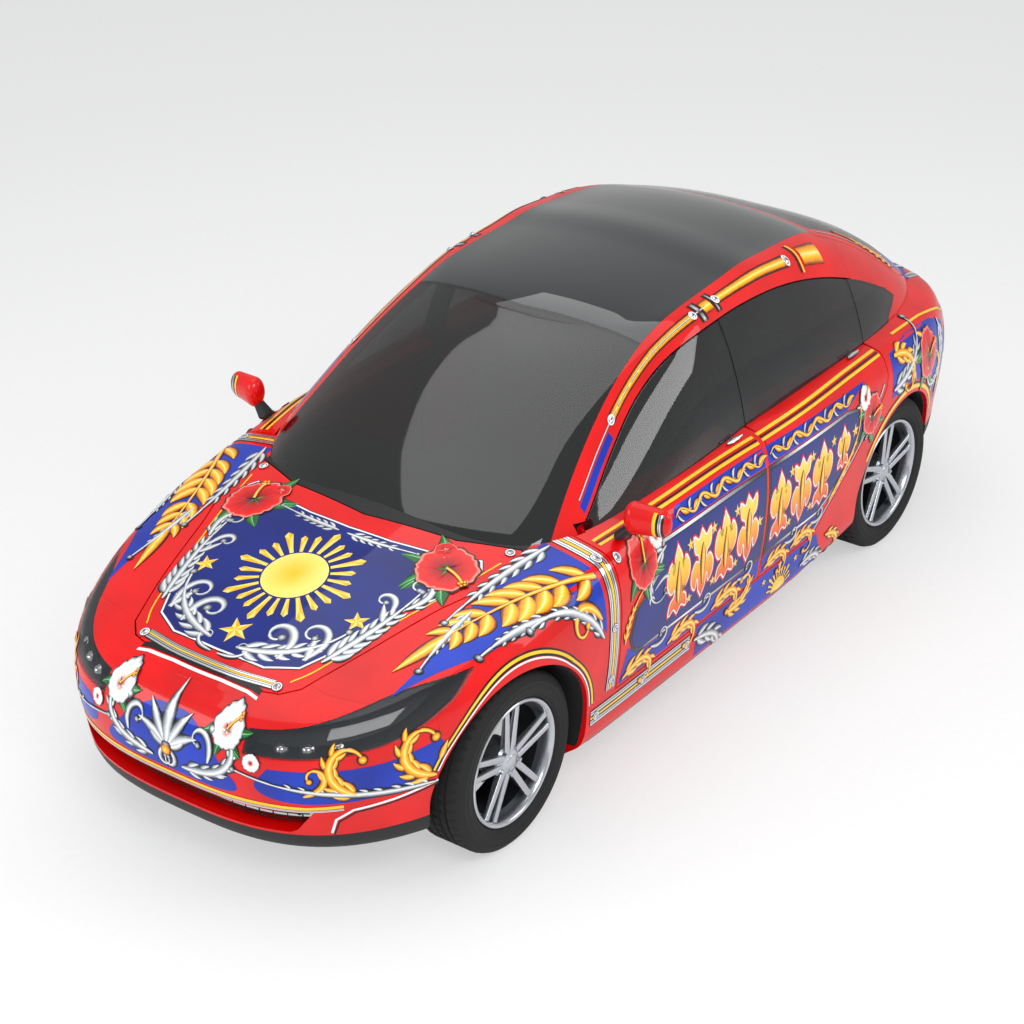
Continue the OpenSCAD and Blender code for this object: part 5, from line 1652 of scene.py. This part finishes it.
def rim_mesh():
    """Rim with five pairs of spokes."""
    h = TYRE_HALF
    bm = spun([
        (BEAD + 11, 12 - h), (BEAD + 11, 21.5 - h), (BEAD, 21.7 - h), (BEAD, 52 - h), (BEAD - 20, 66 - h),
        (BEAD - 20, h - 66), (BEAD, h - 52), (BEAD, h - 21.7), (BEAD + 11, h - 21.5), (BEAD + 11, h - 14),
        (BEAD + 8, h - 11), (BEAD + 2, h - 11), (BEAD - 4, h - 15), (BEAD - 9, h - 24), (BEAD - 12, h - 50),
        (BEAD - 28, h - 62), (BEAD - 28, 62 - h), (BEAD - 8, 48 - h), (BEAD - 8, 12 - h)], 120)
    for face in bm.faces:
        mid = face.calc_center_median()
        face.material_index = 0 if math.hypot(mid.y, mid.z) > BEAD - 13 and mid.x > 40 else 1
    for k in range(5):
        for lean in (1, -1):
            spoke = bmesh.ops.create_cube(bm, size=1)["verts"]
            for v in spoke:
                out = v.co.z > 0
                wide = 24 if out else 30
                v.co = Vector((
                    (v.co.x * (16 if out else 30)) + (88 if out else 70),
                    lean * (31 if out else 17) + v.co.y * wide,
                    BEAD - 12 if out else 46,
                ))
            edges = {e for v in spoke for e in v.link_edges}
            edges = [e for e in edges if abs(e.verts[0].co.z - e.verts[1].co.z) > 90]
            made = bmesh.ops.bevel(
                bm, geom=edges, offset=5, segments=3, profile=0.5, affect="EDGES", material=-1
            )
            whole = {v for f in made["faces"] for v in f.verts}
            island = set(whole)
            grow = list(whole)
            while grow:
                v = grow.pop()
                for e in v.link_edges:
                    w = e.other_vert(v)
                    if w not in island:
                        island.add(w)
                        grow.append(w)
            bmesh.ops.rotate(
                bm, verts=list(island), cent=(0, 0, 0), matrix=Matrix.Rotation(math.radians(72 * k), 3, "X")
            )
    return bm


def hub_mesh():
    """Hub with five nuts and a domed cap."""
    bm = spun([(30, -10), (74, -10), (74, 66), (66, 76), (50, 80), (40, 86), (30, 88)], 64)
    for k in range(5):
        nut = bmesh.ops.create_cone(bm, cap_ends=True, segments=6, radius1=10, radius2=8, depth=16)["verts"]
        bmesh.ops.rotate(bm, verts=nut, matrix=Matrix.Rotation(math.pi / 2, 3, "Y"))
        bmesh.ops.translate(bm, verts=nut, vec=(84, 0, 56))
        bmesh.ops.rotate(
            bm, verts=nut, cent=(0, 0, 0), matrix=Matrix.Rotation(math.radians(72 * k + 36), 3, "X")
        )
    cap = bmesh.ops.create_uvsphere(bm, u_segments=36, v_segments=16, radius=1)["verts"]
    bmesh.ops.scale(bm, verts=cap, vec=(10, 31, 31))
    bmesh.ops.translate(bm, verts=cap, vec=(86, 0, 0))
    return bm


def wheel_piece(bm, name, body, node, y, mirror, materials, angle):
    if mirror:
        bmesh.ops.scale(bm, vec=(-1, 1, 1), verts=bm.verts)
        bmesh.ops.reverse_faces(bm, faces=bm.faces)
    bmesh.ops.translate(bm, vec=(-TRACK_HALF if mirror else TRACK_HALF, y, AXLE_Z), verts=bm.verts)
    piece = new_object(name, bm)
    for material in materials:
        piece.data.materials.append(material)
    smoothed(piece, angle)
    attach(piece, body)
    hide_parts(node)


for place, y, mirror in (
    ("front_left", FRONT_AXLE, False), ("front_right", FRONT_AXLE, True),
    ("rear_left", REAR_AXLE, False), ("rear_right", REAR_AXLE, True)
):
    body = place + "_wheel"
    wheel_piece(tyre_mesh(), place + "_tread", body, place + "_tyre", y, mirror, [RUBBER], 30)
    wheel_piece(
        rim_mesh(), place + "_spokes", body, place + "_rim", y, mirror, [ALLOY, DARK_ALLOY], 35
    )
    wheel_piece(hub_mesh(), place + "_hub", body, place + "_rim", y, mirror, [ALLOY], 35)


# ---------------------------------------------------------------- cushions
def cushion(name, node, x, y_low, y_high, z, crown=0.4, seams=(-0.42, 0.42)):
    """Stuffed pad: y_low and y_high are its front and rear at its foot and at its top."""
    bm = bmesh.new()
    bmesh.ops.create_cube(bm, size=2)
    bmesh.ops.subdivide_edges(bm, edges=bm.edges, cuts=23, use_grid_fill=True)
    for v in bm.verts:
        a, b, c = v.co
        ball = Vector((
            a * math.sqrt(1 - b * b / 2 - c * c / 2 + b * b * c * c / 3),
            b * math.sqrt(1 - a * a / 2 - c * c / 2 + a * a * c * c / 3),
            c * math.sqrt(1 - a * a / 2 - b * b / 2 + a * a * b * b / 3),
        ))
        p = v.co.lerp(ball, crown)
        pinch = sum(math.exp(-(((a - s) / 0.045) ** 2)) for s in seams) * 0.06
        p = Vector((p.x, p.y * (1 - pinch), p.z * (1 - pinch * 0.6)))
        share = (p.z + 1) / 2
        low = y_low[0] + (y_low[1] - y_low[0]) * share
        high = y_high[0] + (y_high[1] - y_high[0]) * share
        v.co = (
            (x[0] + x[1]) / 2 + p.x * (x[1] - x[0]) / 2, (low + high) / 2 + p.y * (high - low) / 2,
            z[0] + (z[1] - z[0]) * share
        )
    bmesh.ops.recalc_face_normals(bm, faces=bm.faces)
    piece = new_object(name, bm)
    piece.data.materials.append(CLOTH)
    piece.data.shade_smooth()
    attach(piece, SHELL)
    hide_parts(node)


FLOOR_TOP, SEAT_WIDTH, COLUMN_X = 330, 500, 370
FRONT_SEAT, REAR_SEAT = DOOR_FRONT + 852, REAR_AXLE - 190 - 365
for label, x, y, width, top_z, node in (
    ("driver", COLUMN_X, FRONT_SEAT, SEAT_WIDTH, 930, "front_seats"),
    ("passenger", -COLUMN_X, FRONT_SEAT, SEAT_WIDTH, 930, "front_seats"),
    ("rear", 0, REAR_SEAT, 1260, 960, "rear_bench"),
):
    span = (x - width / 2 + 1, x + width / 2 - 1)
    seams = (-0.42, 0.42) if width < 900 else (-0.36, 0.36)
    cushion(label + "_seat_cushion", node, span, (y - 225, y - 246), (y + 249, y + 249),
            (FLOOR_TOP + 122, FLOOR_TOP + 258), 0.22, seams)
    cushion(label + "_seat_back", node, span, (y + 256, y + 340), (y + 360, y + 436),
            (FLOOR_TOP + 135, top_z), 0.22, seams)
    rests = (x,) if width < 900 else (-400, 0, 400)
    for k, at in enumerate(rests):
        cushion(f"{label}_head_rest_{k + 1}", node, (at - 120, at + 120), (y + 356, y + 362),
                (y + 440, y + 444), (top_z + 46, top_z + 199), 0.35, ())


# ---------------------------------------------------------------- mirrors
def ball(at, size):
    """Points spread over an ellipsoid."""
    turns = [math.pi * k / 28 for k in range(56)]
    rings = [math.pi * (k + 0.5) / 28 for k in range(28)]
    return [
        Vector(at) + Vector((
            size[0] * math.sin(r) * math.cos(a), size[1] * math.sin(r) * math.sin(a), size[2] * math.cos(r)
        )) for r in rings for a in turns
    ]


def skin_over(name, points):
    """Smooth skin stretched over the points."""
    bm = bmesh.new()
    bmesh.ops.convex_hull(bm, input=[bm.verts.new(p) for p in points])
    used = {v for f in bm.faces for v in f.verts}
    bmesh.ops.delete(bm, geom=[v for v in bm.verts if v not in used], context="VERTS")
    bmesh.ops.recalc_face_normals(bm, faces=bm.faces[:])
    return keep_scratch(new_object(name, bm))


MIRROR_AT = Vector((HALF, DOOR_FRONT + 105, BELT + 88))
mirror_shell = skin_over(
    "mirror_shell",
    ball(MIRROR_AT + Vector((-22, 0, 4)), (40, 45, 66)) + ball(MIRROR_AT + Vector((80, 26, 0)), (43, 36, 57))
)
mirror_foot = skin_over(
    "mirror_foot",
    ball(
        MIRROR_AT + Vector((-78, 0, -84)), (22, 40, 18)
    ) + ball(MIRROR_AT + Vector((-28, 6, -36)), (20, 20, 16))
)
glass_room = slab((HALF - 60, HALF + 115), (MIRROR_AT.y + 34, MIRROR_AT.y + 90), (BELT + 40, BELT + 134))
caps = on_side(
    minus(mirror_shell, glass_room), "mirror_cap_left", "front_left_door", "left_mirror",
    "mirror_cap_right", "front_right_door", "right_mirror"
)
dress(caps, RED)
feet = on_side(
    minus(mirror_foot, hull(-1)), "mirror_foot_left", "front_left_door", "left_mirror",
    "mirror_foot_right", "front_right_door", "right_mirror"
)
dress(feet, TRIM)
panes = on_side(
    both(mirror_shell, slab(
        (HALF - 60, HALF + 115), (MIRROR_AT.y + 33, MIRROR_AT.y + 36), (BELT + 40, BELT + 134)
    )),
    "mirror_glass_left", "front_left_door", "left_mirror", "mirror_glass_right", "front_right_door",
    "right_mirror"
)
dress(panes, MIRROR)
cap_tree = skin_tree(mirror_shell)


def mirror_front(x, z, height):
    """Front of the left mirror, from straight ahead."""
    return land(cap_tree, (x, NOSE, z), (x, 0, z), height)


art = Ornament(mirror_front)
for x, wide, tone in ((1030, 12, YELLOW), (1041, 7, INK), (1051, 12, CHROME), (1061, 7, INK)):
    tall = 46 * math.sqrt(max(0, 1 - ((x - 1040) / 44) ** 2)) if x > 1040 else 50
    art.line([(x, MIRROR_AT.z + tall * k / 8) for k in range(-8, 9)], wide, tone, 1.2)
art.made_both("mirror_ornament", "front_left_door", "front_right_door")


# ---------------------------------------------------------------- CAD parts that stay in view
FINISHES = {
    "floor_pan": COATING, "battery_pack": COATING, "front_subframe": COATING, "rear_axle": COATING,
    "wheel_houses": COATING, "side_frames": CABIN_TRIM, "dashboard": CABIN_TRIM, "steering_wheel": TRIM,
    "left_knuckle": DARK_ALLOY, "right_knuckle": DARK_ALLOY,
}
for node, material in FINISHES.items():
    shown = bpy.data.objects[node] if node in bpy.data.objects else NODES[node]
    shown.data.materials.clear()
    shown.data.materials.append(material)

for piece in scratch:
    bpy.data.objects.remove(piece)

# ---------------------------------------------------------------- stage
scene = bpy.context.scene
scene.view_settings.view_transform = "Standard"
world = bpy.data.worlds.new("plain")
scene.world = world
world.use_nodes = True
sky = world.node_tree.nodes["Background"]
seen = add(world.node_tree, "ShaderNodeLightPath").outputs["Is Camera Ray"]
strength = add(world.node_tree, "ShaderNodeMapRange", {"Value": seen, "To Min": 0.5, "To Max": 1.0})
world.node_tree.links.new(strength.outputs[0], sky.inputs["Strength"])
sky.inputs["Color"].default_value = srgb("#FFFFFF")


def look_at(made, target):
    made.rotation_euler = (Vector(target) - made.location).to_track_quat("-Z", "Y").to_euler()


def soft_light(name, at, size, power, target=(0, 0, 0.6)):
    light = bpy.data.lights.new(name, "AREA")
    light.shape, light.size, light.size_y, light.energy = "RECTANGLE", size[0], size[1], power
    made = bpy.data.objects.new(name, light)
    scene.collection.objects.link(made)
    made.location = at
    look_at(made, target)


soft_light("key", (4.5, -5, 5.5), (4, 3), 220)
soft_light("side_fill", (6, 3, 4), (4, 3), 120)
soft_light("overhead", (-1, 0, 6.5), (7, 5), 140)
soft_light("front_fill", (-3.5, -6.5, 3), (4, 2.5), 120)

# plain pale floor
bm = bmesh.new()
bmesh.ops.create_grid(bm, x_segments=1, y_segments=1, size=40 / MM)
floor = new_object("floor", bm)
pale = plain("pale_floor", "#F4F5F6", "#F7F8F9", 40, 0.01, Roughness=0.8)
tree = pale.node_tree
seen = add(tree, "ShaderNodeLightPath").outputs["Is Camera Ray"]
share = add(tree, "ShaderNodeMath", {0: seen, 1: 0.5}, operation="MULTIPLY")
white = add(tree, "ShaderNodeEmission", {"Color": srgb("#FFFFFF"), "Strength": 1.0})
mixed = add(tree, "ShaderNodeMixShader", {
    0: share.outputs[0], 1: tree.nodes["Principled BSDF"].outputs[0], 2: white.outputs[0]
})
tree.links.new(mixed.outputs[0], tree.nodes["Material Output"].inputs["Surface"])
floor.data.materials.append(pale)

camera = bpy.data.cameras.new("camera")
camera_object = bpy.data.objects.new("camera", camera)
scene.collection.objects.link(camera_object)
scene.camera = camera_object
camera.lens = 82
azimuth, elevation, distance = math.radians(36), math.radians(28), 9.9
target = Vector((-0.08, -0.18, 0.53))
camera_object.location = target + distance * Vector((
    math.sin(azimuth) * math.cos(elevation), -math.cos(azimuth) * math.cos(elevation), math.sin(elevation)
))
look_at(camera_object, target)
camera.clip_end = 100
